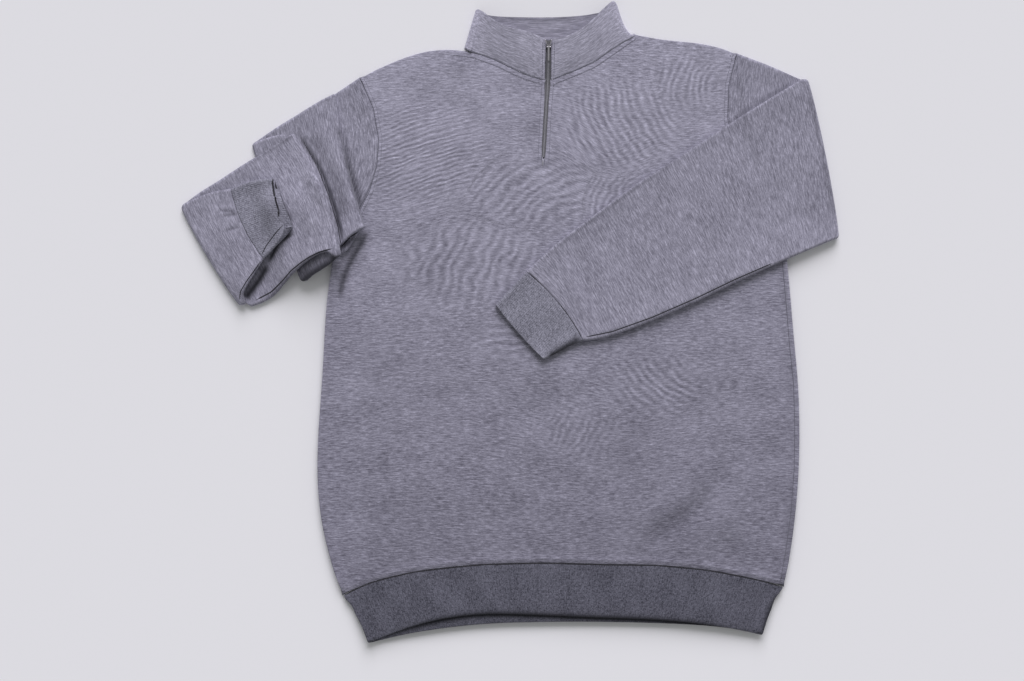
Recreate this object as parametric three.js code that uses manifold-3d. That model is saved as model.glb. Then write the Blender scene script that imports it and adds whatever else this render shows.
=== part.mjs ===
// Quarter zip sweatshirt of brushed fleece with rib cuffs and hem, laid flat on its back.
// Millimetres. +X is towards the wearer's left, +Y towards the collar, +Z up off the surface.
// The tables below use a working frame; the finished group is centred on its bounding box.
import * as THREE from 'three';
import { mergeVertices } from 'three/addons/utils/BufferGeometryUtils.js';
import Module from 'manifold-3d';

// Cloth and layers
const CLOTH = 2.0; // fleece wall
const RIB = 2.2; // double rib wall of the cuffs and the hem band
const COLLAR = 2.2; // double cloth wall of the stand collar
const SEAM_GAP = 0.3; // between any two pieces
const SEAM_STEP = 0.4; // gap across a slanting seam, measured along X or Y
const HOLLOW = 0.6; // inside a flattened tube
const HALF = CLOTH + HOLLOW / 2; // half the thickness of a flattened sleeve
const RIB_HALF = RIB + HOLLOW / 2;
const PITCH = 5.0; // from one sleeve layer to the next
const LOOSE_PITCH = 6.2; // the same in the springier pile of the right sleeve
const FULLNESS = 2.6; // how far the front rises off the back
const FULLNESS_REACH = 90; // distance from the edges over which it rises

// Zip
const ZIP_SLOT = 7.4;
const ZIP_COIL_WIDTH = 3.6;
const ZIP_COIL_HEIGHT = 1.3;
const ZIP_TAPE = 0.8;
const ZIP_TAPE_HIDDEN = 1.1; // half gap between the tapes inside the slider
const ZIP_END_ROW = 0.83; // height share of the front at which the zip ends

// Slider and pull tab. Lengths run up the zip, heights off the tape's upper face.
const SLIDER = { y: 712.2, length: 8.6, mouth: 6.4, tail: 5.0, nose: 4.5, plate: 1.0 };
const SLIDER_SHOULDER = 1.5; // height of its widest part above its middle
const SLIDER_CORNER = 3.4; // height above its middle at which the nose begins
const SLIDER_LIP = { thickness: 0.5, length: 4.3, y: -1.4 };
const SLIDER_POST = { length: 2.6, inset: 0.6 };
const ARCH = { length: 3.8, leg: 0.7, width: 1.0, rise: 1.2, cap: 0.6 };
const SUNK = 0.2; // how far joined pieces of metal run into each other
const PULL = { length: 20, width: 3.6, tip: 3.0, thickness: 0.7, eye: 1.8, eyeLength: 3.2, bar: 0.7 };
const PULL_TILT = 2.0; // degrees that the resting tab dips towards the cloth

// Side outlines of the body from the hem seam up: height y, side x.
const SIDE_RIGHT = [
  { y: 30, x: -270 },
  { y: 88, x: -289 },
  { y: 145, x: -300 },
  { y: 210, x: -301 },
  { y: 258, x: -298 },
  { y: 306, x: -294 },
  { y: 389, x: -290 },
  { y: 465, x: -279 },
];
const SIDE_LEFT = [
  { y: 41, x: 278 },
  { y: 104, x: 289 },
  { y: 165, x: 295 },
  { y: 213, x: 297 },
  { y: 286, x: 296 },
  { y: 347, x: 290 },
  { y: 397, x: 286 },
  { y: 471, x: 279 },
];
// Armholes: the underarm point, the shoulder point and how far the seam bows into the body.
const ARMHOLE_RIGHT = { armpit: [-279, 465], shoulder: [-249, 673], bow: 37 };
const ARMHOLE_LEFT = { armpit: [279, 471], shoulder: [220, 703], bow: -35 };
// Upper edge of the front from shoulder to shoulder, along the shoulders and the front neckline.
const FRONT_TOP = [
  { x: -249, y: 673 },
  { x: -221, y: 686 },
  { x: -176, y: 704 },
  { x: -148, y: 708 },
  { x: -120, y: 707 },
  { x: -86, y: 698 },
  { x: -62, y: 686 },
  { x: -40, y: 676 },
  { x: -19, y: 670 },
  { x: -11, y: 670 },
  { x: 0, y: 675 },
  { x: 19, y: 682 },
  { x: 43, y: 693 },
  { x: 63, y: 707 },
  { x: 88, y: 727 },
  { x: 104, y: 723 },
  { x: 136, y: 719 },
  { x: 184, y: 714 },
  { x: 220, y: 703 },
];
// Back neckline between the two neck points.
const BACK_NECK = [
  { x: -120, y: 707 },
  { x: -100, y: 699 },
  { x: -60, y: 693 },
  { x: -16, y: 691 },
  { x: 28, y: 696 },
  { x: 64, y: 708 },
  { x: 88, y: 727 },
];
// Hem seam, and the lower edges of the band's front and back.
const HEM_SEAM = [
  { x: -270, y: 30 },
  { x: -237, y: 47 },
  { x: -176, y: 61 },
  { x: -99, y: 69 },
  { x: -20, y: 71 },
  { x: 42, y: 69 },
  { x: 123, y: 68 },
  { x: 184, y: 62 },
  { x: 242, y: 51 },
  { x: 278, y: 41 },
];
const BAND_FRONT = [
  { x: -238, y: -29 },
  { x: -193, y: -11 },
  { x: -148, y: 1 },
  { x: -99, y: 7 },
  { x: -60, y: 7 },
  { x: 42, y: 3 },
  { x: 135, y: -1 },
  { x: 203, y: -9 },
  { x: 251, y: -19 },
];
const BAND_BACK = [
  { x: -238, y: -30 },
  { x: -195, y: -19 },
  { x: -138, y: -10 },
  { x: -99, y: -6 },
  { x: -60, y: -4 },
  { x: 42, y: -3 },
  { x: 156, y: -6 },
  { x: 213, y: -11 },
  { x: 251, y: -20 },
];
// Centre line of the zip: x at each height, z of the upper face of the tape, half gap of the tapes.
const ZIP = [
  { x: -20.8, y: 573, z: 5.7, part: 0.15 },
  { x: -18.0, y: 620, z: 5.7, part: 0.15 },
  { x: -15.2, y: 664, z: 5.8, part: 0.15 },
  { x: -15.0, y: 672, z: 6.9, part: 0.15 },
  { x: -14.7, y: 690, z: 12.4, part: 0.15 },
  { x: -14.5, y: 705, z: 17.0, part: 0.15 },
  { x: -14.4, y: 709, z: 18.2, part: ZIP_TAPE_HIDDEN },
  { x: -14.3, y: 717, z: 20.6, part: ZIP_TAPE_HIDDEN },
];
// Stand collar from the right zip edge round the back to the left zip edge: base and top edges of
// its outer face. The back of it lies on the surface and its front leans up from the neckline.
const COLLAR_SECTIONS = [
  { bx: -19, by: 670.4, bz: 7.4, tx: -18.4, ty: 718, tz: 22 },
  { bx: -29, by: 673.5, bz: 7.4, tx: -30, ty: 723, tz: 23 },
  { bx: -40, by: 676.8, bz: 7.4, tx: -43, ty: 728, tz: 23.5 },
  { bx: -62, by: 686.9, bz: 7.3, tx: -67, ty: 734, tz: 23 },
  { bx: -86, by: 698.8, bz: 7.1, tx: -85, ty: 744, tz: 21 },
  { bx: -103, by: 704.3, bz: 6.8, tx: -95, ty: 752, tz: 17.5 },
  { bx: -114, by: 707.9, bz: 6.3, tx: -101, ty: 756, tz: 13.5 },
  { bx: -118.8, by: 708.4, bz: 3.3, tx: -104.5, ty: 756, tz: 7.5 },
  { bx: -116.5, by: 707.6, bz: 0.7, tx: -102.5, ty: 755, tz: 1.6 },
  { bx: -108, by: 703.8, bz: 0, tx: -96, ty: 753, tz: 0 },
  { bx: -85, by: 697.3, bz: 0, tx: -84, ty: 750, tz: 0 },
  { bx: -60, by: 693.6, bz: 0, tx: -60, ty: 748.5, tz: 0 },
  { bx: -16, by: 691.6, bz: 0, tx: -16, ty: 748, tz: 0 },
  { bx: 28, by: 696.6, bz: 0, tx: 25, ty: 750, tz: 0 },
  { bx: 64, by: 709, bz: 0, tx: 55, ty: 755, tz: 0 },
  { bx: 80, by: 721.6, bz: 0, tx: 66, ty: 757, tz: 0 },
  { bx: 85.4, by: 726, bz: 0.6, tx: 72, ty: 758, tz: 1.6 },
  { bx: 88.2, by: 728.2, bz: 3.1, tx: 74.5, ty: 759, tz: 8 },
  { bx: 84.5, by: 725.6, bz: 6.6, tx: 71, ty: 763, tz: 14 },
  { bx: 76, by: 718.4, bz: 7, tx: 65, ty: 765.5, tz: 17.5 },
  { bx: 63, by: 708.2, bz: 7.1, tx: 55, ty: 757, tz: 20.5 },
  { bx: 43, by: 694.1, bz: 7.3, tx: 42, ty: 744, tz: 23 },
  { bx: 19, by: 682.7, bz: 7.4, tx: 28, ty: 732, tz: 23.5 },
  { bx: 3, by: 676.6, bz: 7.4, tx: 10, ty: 722.5, tz: 23 },
  { bx: -11, by: 670.4, bz: 7.4, tx: -10.4, ty: 718, tz: 22 },
];

// Right sleeve, laid back and forth on itself. Each row is a section: its upper and lower edge in
// plan, how far its middle bows, how far its lower edge is lifted, and the side of a fold (-1, 1).
const SLEEVE_RIGHT = [
  { ux: -295, uy: 645, lx: -297, ly: 458, bow: 0, lift: 0, fold: -1 },
  { ux: -279, uy: 655, lx: -241, ly: 485, bow: 3, lift: 2, fold: 1 },
  { ux: -300, uy: 642, lx: -262, ly: 470, bow: 0, lift: 3, fold: 0 },
  { ux: -326, uy: 626, lx: -283, ly: 452, bow: 0, lift: 2, fold: 0 },
  { ux: -352, uy: 609, lx: -303, ly: 433, bow: 0, lift: 1, fold: 0 },
  { ux: -383, uy: 590, lx: -321, ly: 418, bow: 0, lift: 0, fold: -1 },
  { ux: -365, uy: 597, lx: -303, ly: 428, bow: 0, lift: 2, fold: 0 },
  { ux: -345, uy: 603, lx: -284, ly: 440, bow: 0, lift: 4, fold: 0 },
  { ux: -332, uy: 605, lx: -269, ly: 449, bow: 6, lift: 4, fold: 1 },
  { ux: -352, uy: 592, lx: -288, ly: 454, bow: 4, lift: 6, fold: 0 },
  { ux: -374, uy: 577, lx: -308, ly: 444, bow: 2, lift: 7, fold: 0 },
  { ux: -398, uy: 561, lx: -330, ly: 428, bow: 0, lift: 5, fold: 0 },
  { ux: -424, uy: 544, lx: -356, ly: 400, bow: 0, lift: 2, fold: 0 },
  { ux: -448, uy: 529, lx: -382, ly: 388, bow: 0, lift: 1, fold: 0 },
  { ux: -472, uy: 513, lx: -397, ly: 388, bow: -3, lift: 0, fold: -1 },
  { ux: -453, uy: 524, lx: -388, ly: 408, bow: -2, lift: 5, fold: 0 },
  { ux: -431, uy: 531, lx: -377, ly: 430, bow: -3, lift: 7, fold: 0 },
  { ux: -408, uy: 535, lx: -366, ly: 447, bow: -6, lift: 7, fold: 0 },
];
const CUFF_RIGHT = [
  { ux: -408, uy: 535, lx: -366, ly: 447, bow: -6, lift: 7, slant: 0, open: 0 },
  { ux: -388, uy: 541, lx: -354, ly: 458, bow: -1, lift: 6, slant: 0, open: 0 },
  { ux: -370, uy: 545, lx: -342, ly: 470, bow: 2, lift: 4, slant: 2, open: 0.6 },
  { ux: -355, uy: 547, lx: -330, ly: 481, bow: 4, lift: 3, slant: 6, open: 1.6 },
];
// Left sleeve: out to its fold, then back over the front.
const SLEEVE_LEFT = [
  { ux: 262, uy: 687, lx: 309, ly: 472, bow: -14, lift: 0, fold: 0 },
  { ux: 308, uy: 672, lx: 345, ly: 474, bow: 2, lift: 0, fold: 1 },
  { ux: 262, uy: 648, lx: 313, ly: 464, bow: 0, lift: 0, fold: 0 },
  { ux: 203, uy: 611, lx: 267, ly: 443, bow: 0, lift: 0, fold: 0 },
  { ux: 143, uy: 570, lx: 217, ly: 418, bow: 0, lift: 0, fold: 0 },
  { ux: 91, uy: 538, lx: 167, ly: 392, bow: 0, lift: 0, fold: 0 },
  { ux: 42, uy: 502, lx: 114, ly: 370, bow: 0, lift: 0, fold: 0 },
  { ux: 0, uy: 470, lx: 65, ly: 352, bow: 0, lift: 0, fold: 0 },
  { ux: -42, uy: 432, lx: 29, ly: 346, bow: -2, lift: 0, fold: 0 },
];
const CUFF_LEFT = [
  { ux: -42, uy: 432, lx: 29, ly: 346, bow: -2, lift: 0, slant: 0, open: 0 },
  { ux: -55, uy: 419, lx: 12, ly: 340, bow: -1, lift: 0, slant: 0, open: 0 },
  { ux: -68, uy: 405, lx: -5, ly: 331, bow: 0, lift: 0, slant: 0, open: 0.2 },
  { ux: -81, uy: 391, lx: -21, ly: 322, bow: 0, lift: 0, slant: 1, open: 0.6 },
];
const CUFF_SHARES = [0.2, 0.4, 0.6, 0.8];
const HILL_REACH = 32; // how far a sleeve layer takes to come down off a pile
const FOLD_STEPS = 4;

// Rows of the body panels, as shares of the height from the hem seam to the top edge.
const ARMPIT_ROW_RIGHT = 0.6765;
const ARMPIT_ROW_LEFT = 0.6495;
const ROWS = [
  0, 0.06, 0.14, 0.22, 0.3, 0.38, 0.46, 0.54, 0.6,
  ARMPIT_ROW_LEFT, ARMPIT_ROW_RIGHT, 0.73, 0.78, ZIP_END_ROW, 0.88, 0.94, 1,
];
const COLUMNS_RIGHT = 8; // cells from the right side to the zip
const COLUMNS_LEFT = 9;
const STRIP_AT_HEM = 26; // width of the strip of cells that runs on below the zip
const HEM_AT_ZIP = 71;
const NECK_AT_ZIP = 670;
const COLLAR_COLUMNS_PER_SECTION = 2;
const COLLAR_ROWS = 3;

const FLEECE = { color: 0x8c8a9b, roughness: 0.95, metalness: 0 };
const RIB_DARK = { color: 0x545360, roughness: 0.95, metalness: 0 };
const RIB_GREY = { color: 0x787684, roughness: 0.95, metalness: 0 };
const TAPE = { color: 0x6f6c72, roughness: 0.85, metalness: 0 };
const COIL = { color: 0x6a6868, roughness: 0.5, metalness: 0 };
const METAL = { color: 0xb5b2ad, roughness: 0.3, metalness: 1 };

function mix(a, b, t) {
  return a + (b - a) * t;
}

function smooth(t) {
  const s = Math.min(1, Math.max(0, t));
  return s * s * (3 - 2 * s);
}

// Reads a smooth curve through a table: the value of one column where another column is `at`.
function read(table, by, wanted, at) {
  let i = 0;
  while (i < table.length - 2 && at > table[i + 1][by]) i += 1;
  const [a, b] = [table[i], table[i + 1]];
  const [before, after] = [table[Math.max(0, i - 1)], table[Math.min(table.length - 1, i + 2)]];
  const span = b[by] - a[by];
  const t = Math.min(1, Math.max(0, (at - a[by]) / span));
  const slopeA = (b[wanted] - before[wanted]) / (b[by] - before[by]);
  const slopeB = (after[wanted] - a[wanted]) / (after[by] - a[by]);
  const [h00, h10] = [(1 + 2 * t) * (1 - t) ** 2, t * (1 - t) ** 2];
  const [h01, h11] = [t * t * (3 - 2 * t), t * t * (t - 1)];
  return h00 * a[wanted] + h10 * span * slopeA + h01 * b[wanted] + h11 * span * slopeB;
}

// Straight reading between rows, for edges that two pieces share point by point.
function readStraight(table, by, wanted, at) {
  let i = 0;
  while (i < table.length - 2 && at > table[i + 1][by]) i += 1;
  const t = (at - table[i][by]) / (table[i + 1][by] - table[i][by]);
  return mix(table[i][wanted], table[i + 1][wanted], t);
}

// A closed solid between an upper and a lower grid of points. `loop` joins the last column to the
// first; cells that `open` names are left out. The far half of a loop is split into triangles as
// the mirror of its near half, so that two faces of a flattened tube stay parallel.
function solid(upper, lower, { loop = false, open = () => false } = {}) {
  const rows = upper.length;
  const columns = upper[0].length;
  const cells = loop ? columns : columns - 1;
  const points = [...upper.flat(), ...lower.flat()];
  const top = (r, c) => r * columns + (c % columns);
  const under = (r, c) => rows * columns + top(r, c);
  const closed = (r, c) => {
    const inside = r >= 0 && r < rows - 1 && (loop || (c >= 0 && c < cells));
    return inside && !open(r, (c + cells) % cells);
  };
  const faces = [];
  const quad = (a, b, c, d) => faces.push(a, b, c, a, c, d);
  const mirrored = (a, b, c, d) => quad(b, c, d, a);
  for (let r = 0; r < rows - 1; r += 1) {
    for (let c = 0; c < cells; c += 1) {
      if (!closed(r, c)) continue;
      const face = loop && c >= columns / 2 ? mirrored : quad;
      face(top(r, c), top(r, c + 1), top(r + 1, c + 1), top(r + 1, c));
      face(under(r, c), under(r + 1, c), under(r + 1, c + 1), under(r, c + 1));
      if (!closed(r - 1, c)) quad(under(r, c), under(r, c + 1), top(r, c + 1), top(r, c));
      if (!closed(r + 1, c)) quad(top(r + 1, c), top(r + 1, c + 1), under(r + 1, c + 1), under(r + 1, c));
      if (!closed(r, c - 1)) quad(top(r, c), top(r + 1, c), under(r + 1, c), under(r, c));
      if (!closed(r, c + 1)) quad(under(r, c + 1), under(r + 1, c + 1), top(r + 1, c + 1), top(r, c + 1));
    }
  }
  return geometryOf(points, faces);
}

// Turns points and triangles into a geometry whose faces point out.
function geometryOf(points, faces) {
  let volume = 0;
  for (let i = 0; i < faces.length; i += 3) {
    const [a, b, c] = [points[faces[i]], points[faces[i + 1]], points[faces[i + 2]]];
    volume += a.dot(new THREE.Vector3().crossVectors(b, c));
  }
  const outward = volume > 0 ? faces : faces.slice().reverse();
  const geometry = new THREE.BufferGeometry();
  const numbers = points.flatMap((p) => p.toArray());
  geometry.setAttribute('position', new THREE.Float32BufferAttribute(numbers, 3));
  geometry.setIndex(outward);
  return geometry;
}

// --- Body -----------------------------------------------------------------------------------

// One side of the body at a height share: up the side seam, then round the armhole.
function sidePoint(side, armhole, armpitRow, share) {
  const bottom = side[0].y;
  const y = mix(bottom, armhole.shoulder[1], share);
  if (share <= armpitRow) return { y, x: read(side, 'y', 'x', y) };
  const t = (share - armpitRow) / (1 - armpitRow);
  const straight = mix(armhole.armpit[0], armhole.shoulder[0], t);
  return { y, x: straight + armhole.bow * (1 - (2 * t - 1) ** 2) };
}

const EDGE_RIGHT = ROWS.map((share) => ({
  share,
  ...sidePoint(SIDE_RIGHT, ARMHOLE_RIGHT, ARMPIT_ROW_RIGHT, share),
}));
const EDGE_LEFT = ROWS.map((share) => ({
  share,
  ...sidePoint(SIDE_LEFT, ARMHOLE_LEFT, ARMPIT_ROW_LEFT, share),
}));

// Distance from a point to a run of straight edges.
function distanceTo(run, x, y) {
  let nearest = Infinity;
  for (let i = 0; i < run.length - 1; i += 1) {
    const [a, b] = [run[i], run[i + 1]];
    const [dx, dy] = [b.x - a.x, b.y - a.y];
    const t = Math.min(1, Math.max(0, ((x - a.x) * dx + (y - a.y) * dy) / (dx * dx + dy * dy)));
    nearest = Math.min(nearest, Math.hypot(x - a.x - t * dx, y - a.y - t * dy));
  }
  return nearest;
}

const NECK_POINT_RIGHT = FRONT_TOP.findIndex((p) => p.x === -120);
const NECK_POINT_LEFT = FRONT_TOP.findIndex((p) => p.x === 88);
const CLOSED_EDGES = [
  EDGE_RIGHT,
  EDGE_LEFT,
  HEM_SEAM,
  FRONT_TOP.slice(0, NECK_POINT_RIGHT + 1),
  FRONT_TOP.slice(NECK_POINT_LEFT),
];

// How far the front has risen off the back: nothing at the closed edges, and outside them.
function fullness(x, y) {
  const left = readStraight(EDGE_RIGHT, 'y', 'x', y);
  const right = readStraight(EDGE_LEFT, 'y', 'x', y);
  if (x <= left || x >= right) return 0;
  const distance = Math.min(...CLOSED_EDGES.map((run) => distanceTo(run, x, y)));
  return FULLNESS * smooth(distance / FULLNESS_REACH);
}

function zipX(y) {
  return readStraight(ZIP, 'y', 'x', Math.min(y, ZIP.at(-1).y));
}

// A body panel between the hem seam and a top edge, without the cells that `open` names.
function panel(topEdge, zUnder, open) {
  const under = ROWS.map((share, row) => columnsAt(row).map((x) => {
    const across = (x - EDGE_RIGHT[row].x) / (EDGE_LEFT[row].x - EDGE_RIGHT[row].x);
    const hemX = mix(EDGE_RIGHT[0].x, EDGE_LEFT[0].x, across);
    const topX = mix(EDGE_RIGHT.at(-1).x, EDGE_LEFT.at(-1).x, across);
    const y = mix(readStraight(HEM_SEAM, 'x', 'y', hemX), read(topEdge, 'x', 'y', topX), share);
    return new THREE.Vector3(x, y, zUnder(x, y));
  }));
  const upper = under.map((row) => row.map((p) => p.clone().setZ(p.z + CLOTH)));
  return solid(upper, under, { open });
}

function spread(from, to, count) {
  return Array.from({ length: count + 1 }, (_, i) => mix(from, to, i / count));
}

// The x of each column of both panels in a row. One strip of columns follows the zip and widens
// below it.
function columnsAt(row) {
  const y = mix(HEM_AT_ZIP, NECK_AT_ZIP, ROWS[row]);
  const below = Math.max(0, ZIP[0].y - y) / ZIP[0].y;
  const half = mix(ZIP_SLOT / 2, STRIP_AT_HEM / 2, below);
  const middle = zipX(Math.max(y, ZIP[0].y));
  return [
    ...spread(EDGE_RIGHT[row].x, middle - half, COLUMNS_RIGHT),
    ...spread(middle + half, EDGE_LEFT[row].x, COLUMNS_LEFT),
  ];
}

function frontPanel() {
  const zipEndRow = ROWS.indexOf(ZIP_END_ROW);
  const under = (x, y) => CLOTH + SEAM_GAP + fullness(x, y);
  const slot = (row, column) => column === COLUMNS_RIGHT && row >= zipEndRow;
  return panel(FRONT_TOP, under, slot);
}

function backPanel() {
  const topEdge = [
    ...FRONT_TOP.slice(0, NECK_POINT_RIGHT),
    ...BACK_NECK,
    ...FRONT_TOP.slice(NECK_POINT_LEFT + 1),
  ];
  return panel(topEdge, () => 0, () => false);
}

// --- Flattened tubes: sleeves, cuffs and hem band -----------------------------------------------

const EDGE_NEAR = 0.6; // where the rounded edge of a tube has a point, in half thicknesses

// The points round one section of a flattened tube, at a depth inside its outer face.
function ring(section, shares, depth) {
  const half = section.half - depth;
  const near = (depth + EDGE_NEAR * half) / section.width;
  const across = [near, ...shares, 1 - near];
  const rise = across.map((s) => {
    const fromEdge = Math.min(s, 1 - s) * section.width - depth;
    const inside = Math.min(fromEdge, half);
    return Math.sqrt(half * half - (half - inside) ** 2);
  });
  const edge = depth / section.width;
  return [
    section.place(edge, 0),
    ...across.map((s, i) => section.place(s, rise[i])),
    section.place(1 - edge, 0),
    ...across.map((s, i) => section.place(s, -rise[i])).reverse(),
  ];
}

function tube(sections, shares, wall) {
  const outer = sections.map((section) => ring(section, shares, 0));
  const inner = sections.map((section) => ring(section, shares, wall));
  return solid(outer, inner, { loop: true });
}

// Plan point across a row of a sleeve table.
function planAt(row, share) {
  const [dx, dy] = [row.lx - row.ux, row.ly - row.uy];
  const length = Math.hypot(dx, dy);
  const bow = row.bow * (1 - (2 * share - 1) ** 2);
  return {
    x: row.ux + dx * share - (dy / length) * bow,
    y: row.uy + dy * share + (dx / length) * bow,
  };
}

// A row of a table between two of its rows.
function between(a, b, t) {
  return Object.fromEntries(Object.keys(a).map((key) => [key, mix(a[key], b[key], t)]));
}

// Adds a row halfway between each two rows of a table.
function halved(rows) {
  return rows.flatMap((row, i) => (i ? [{ ...between(rows[i - 1], row, 0.5), fold: 0 }, row] : [row]));
}

// The sections of a sleeve or cuff from its rows. Layer heights come from `layers`, one function
// for each stretch between folds; a fold is a half turn from one layer up to the next.
function tubeSections(rows, layers, half) {
  const sections = [];
  let stretch = 0;
  for (const row of rows) {
    const width = Math.hypot(row.lx - row.ux, row.ly - row.uy);
    const base = layers[stretch];
    const facing = stretch % 2 ? -1 : 1; // which face of the tube is up
    const lifted = (share) => row.lift * share ** 3;
    if (row.fold) {
      sections.push(...foldSections(row, base, layers[stretch + 1], { width, half, facing, lifted }));
      stretch += 1;
      continue;
    }
    const [dx, dy] = [(row.lx - row.ux) / width, (row.ly - row.uy) / width];
    const place = (share, rise) => {
      const plan = planAt(row, share);
      const slant = rise < 0 ? row.slant || 0 : 0;
      const open = rise > 0 ? row.open || 0 : 0;
      const z = base(plan.x, plan.y) + lifted(share) + rise * facing + open;
      return new THREE.Vector3(plan.x - dy * slant, plan.y + dx * slant, z);
    };
    sections.push({ width, half, place });
  }
  return sections;
}

function foldSections(row, base, next, { width, half, facing, lifted }) {
  const out = new THREE.Vector2(row.ly - row.uy, row.ux - row.lx).divideScalar(width);
  if (Math.sign(out.x) !== row.fold) out.negate();
  const inset = half + LOOSE_PITCH / 2;
  return spread(0, Math.PI, FOLD_STEPS).map((angle) => {
    const place = (share, rise) => {
      const plan = planAt(row, share);
      const [x, y] = [plan.x - out.x * inset, plan.y - out.y * inset];
      const turn = (next(x, y) - base(x, y)) / 2;
      const radius = turn - rise * facing;
      const z = base(x, y) + lifted(share) + turn - radius * Math.cos(angle);
      const reach = radius * Math.sin(angle);
      return new THREE.Vector3(x + out.x * reach, y + out.y * reach, z);
    };
    return { width, half, place };
  });
}

// The first section of a sleeve: the body's own armhole points, moved off them by a seam's gap.
function armholeSection(edge, armpitRow, outward) {
  const points = edge.filter((p) => p.share >= armpitRow).reverse();
  const [top, bottom] = [points[0], points.at(-1)];
  const width = Math.hypot(top.x - bottom.x, top.y - bottom.y);
  const byShare = points.map((p) => ({ x: p.x, y: p.y, across: (top.share - p.share) / (1 - armpitRow) }));
  const place = (share, rise) => new THREE.Vector3(
    readStraight(byShare, 'across', 'x', share) + outward * SEAM_STEP,
    readStraight(byShare, 'across', 'y', share),
    HALF + rise,
  );
  const shares = byShare.slice(1, -1).map((p) => p.across);
  return { section: { width, half: HALF, place }, shares };
}

// Height that a layer gains by lying over a pile whose edge runs along a fold line.
function hill(row, height) {
  const [dx, dy] = [row.lx - row.ux, row.ly - row.uy];
  const length = Math.hypot(dx, dy);
  return (x, y) => {
    const past = ((y - row.uy) * dx - (x - row.ux) * dy) / length;
    return height * smooth(1 + past / HILL_REACH);
  };
}

const FOLDS_RIGHT = SLEEVE_RIGHT.filter((row) => row.fold);
const OVER_FIRST_PLEAT = hill(FOLDS_RIGHT[0], 2 * LOOSE_PITCH);
const OVER_SECOND_PLEAT = hill(FOLDS_RIGHT[2], 2 * LOOSE_PITCH);
const LAYERS_RIGHT = [
  () => HALF,
  (x, y) => HALF + LOOSE_PITCH + fullness(x, y),
  (x, y) => HALF + OVER_FIRST_PLEAT(x, y) + fullness(x, y),
  (x, y) => HALF + LOOSE_PITCH + OVER_FIRST_PLEAT(x, y) + fullness(x, y),
  (x, y) => HALF + OVER_FIRST_PLEAT(x, y) + OVER_SECOND_PLEAT(x, y),
  (x, y) => HALF + LOOSE_PITCH + OVER_FIRST_PLEAT(x, y) + OVER_SECOND_PLEAT(x, y),
];
const LAYERS_LEFT = [() => HALF, (x, y) => HALF + PITCH + fullness(x, y)];

function sleeve(edge, armpitRow, outward, rows, layers) {
  const { section, shares } = armholeSection(edge, armpitRow, outward);
  return tube([section, ...tubeSections(rows, layers, HALF)], shares, CLOTH);
}

// A cuff starts a seam's gap past the end of its sleeve and rides at the same height.
function cuff(rows, layer) {
  const [first, second] = rows;
  const share = SEAM_STEP / Math.hypot(second.ux - first.ux, second.uy - first.uy);
  const start = between(first, second, share);
  const raised = (x, y) => layer(x, y) + RIB_HALF - HALF;
  return tube(tubeSections([start, ...rows.slice(1)], [raised], RIB_HALF), CUFF_SHARES, RIB);
}

function hemBand() {
  const [xl, xr] = [HEM_SEAM[0].x, HEM_SEAM.at(-1).x];
  const [bl, br] = [BAND_FRONT[0].x, BAND_FRONT.at(-1).x];
  const shares = columnsAt(0).slice(1, -1).map((x) => (x - xl) / (xr - xl));
  const sections = [0, 0.3, 0.65, 1].map((down) => {
    const curve = 1 - (1 - down) ** 1.5;
    const width = mix(xr - xl, br - bl, curve);
    const place = (share, rise) => {
      const seamX = mix(xl, xr, share);
      const lowX = mix(bl, br, share);
      const edge = rise >= 0 ? BAND_FRONT : BAND_BACK;
      const seamY = readStraight(HEM_SEAM, 'x', 'y', seamX) - SEAM_STEP;
      const y = mix(seamY, read(edge, 'x', 'y', lowX), down);
      return new THREE.Vector3(mix(seamX, lowX, curve), y, RIB_HALF + rise);
    };
    return { width, half: RIB_HALF, place };
  });
  return tube(sections, shares, RIB);
}

// --- Collar ---------------------------------------------------------------------------------------

function collar() {
  const curve = (x, y, z) => new THREE.CatmullRomCurve3(
    COLLAR_SECTIONS.map((s) => new THREE.Vector3(s[x], s[y], s[z])),
    false,
    'catmullrom',
    0.5,
  );
  const base = curve('bx', 'by', 'bz');
  const top = curve('tx', 'ty', 'tz');
  const columns = (COLLAR_SECTIONS.length - 1) * COLLAR_COLUMNS_PER_SECTION;
  const along = spread(0, 1, columns);
  const outer = spread(0, 1, COLLAR_ROWS).map((height) => along.map((t) => {
    const p = base.getPoint(t).lerp(top.getPoint(t), height);
    return p.setZ(Math.max(0, p.z));
  }));
  const inner = outer.map((row, r) => row.map((p, c) => {
    const alongBand = row[Math.min(c + 1, columns)].clone().sub(row[Math.max(c - 1, 0)]);
    const up = outer[Math.min(r + 1, COLLAR_ROWS)][c].clone().sub(outer[Math.max(r - 1, 0)][c]);
    return p.clone().addScaledVector(alongBand.cross(up).normalize(), COLLAR);
  }));
  return solid(outer, inner);
}

// --- Zip ------------------------------------------------------------------------------------------

// A strip along the zip between two offsets across it and two heights off the tape's upper face.
function zipStrip(rows, inside, outside, low, high) {
  const [lower, upper] = [low, high].map((height) => rows.map((row) => [inside, outside].map(
    (offset) => new THREE.Vector3(row.x + offset(row), row.y, row.z + height),
  )));
  return solid(upper, lower);
}

function zipTape(side) {
  const outside = side * (ZIP_SLOT / 2 - SEAM_GAP);
  return zipStrip(ZIP, (row) => side * row.part, () => outside, -ZIP_TAPE, 0);
}

const COIL_ROWS = ZIP.filter((row) => row.part < ZIP_TAPE_HIDDEN);

function zipCoil() {
  const half = ZIP_COIL_WIDTH / 2;
  return zipStrip(COIL_ROWS, () => -half, () => half, SEAM_GAP, SEAM_GAP + ZIP_COIL_HEIGHT);
}

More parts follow.
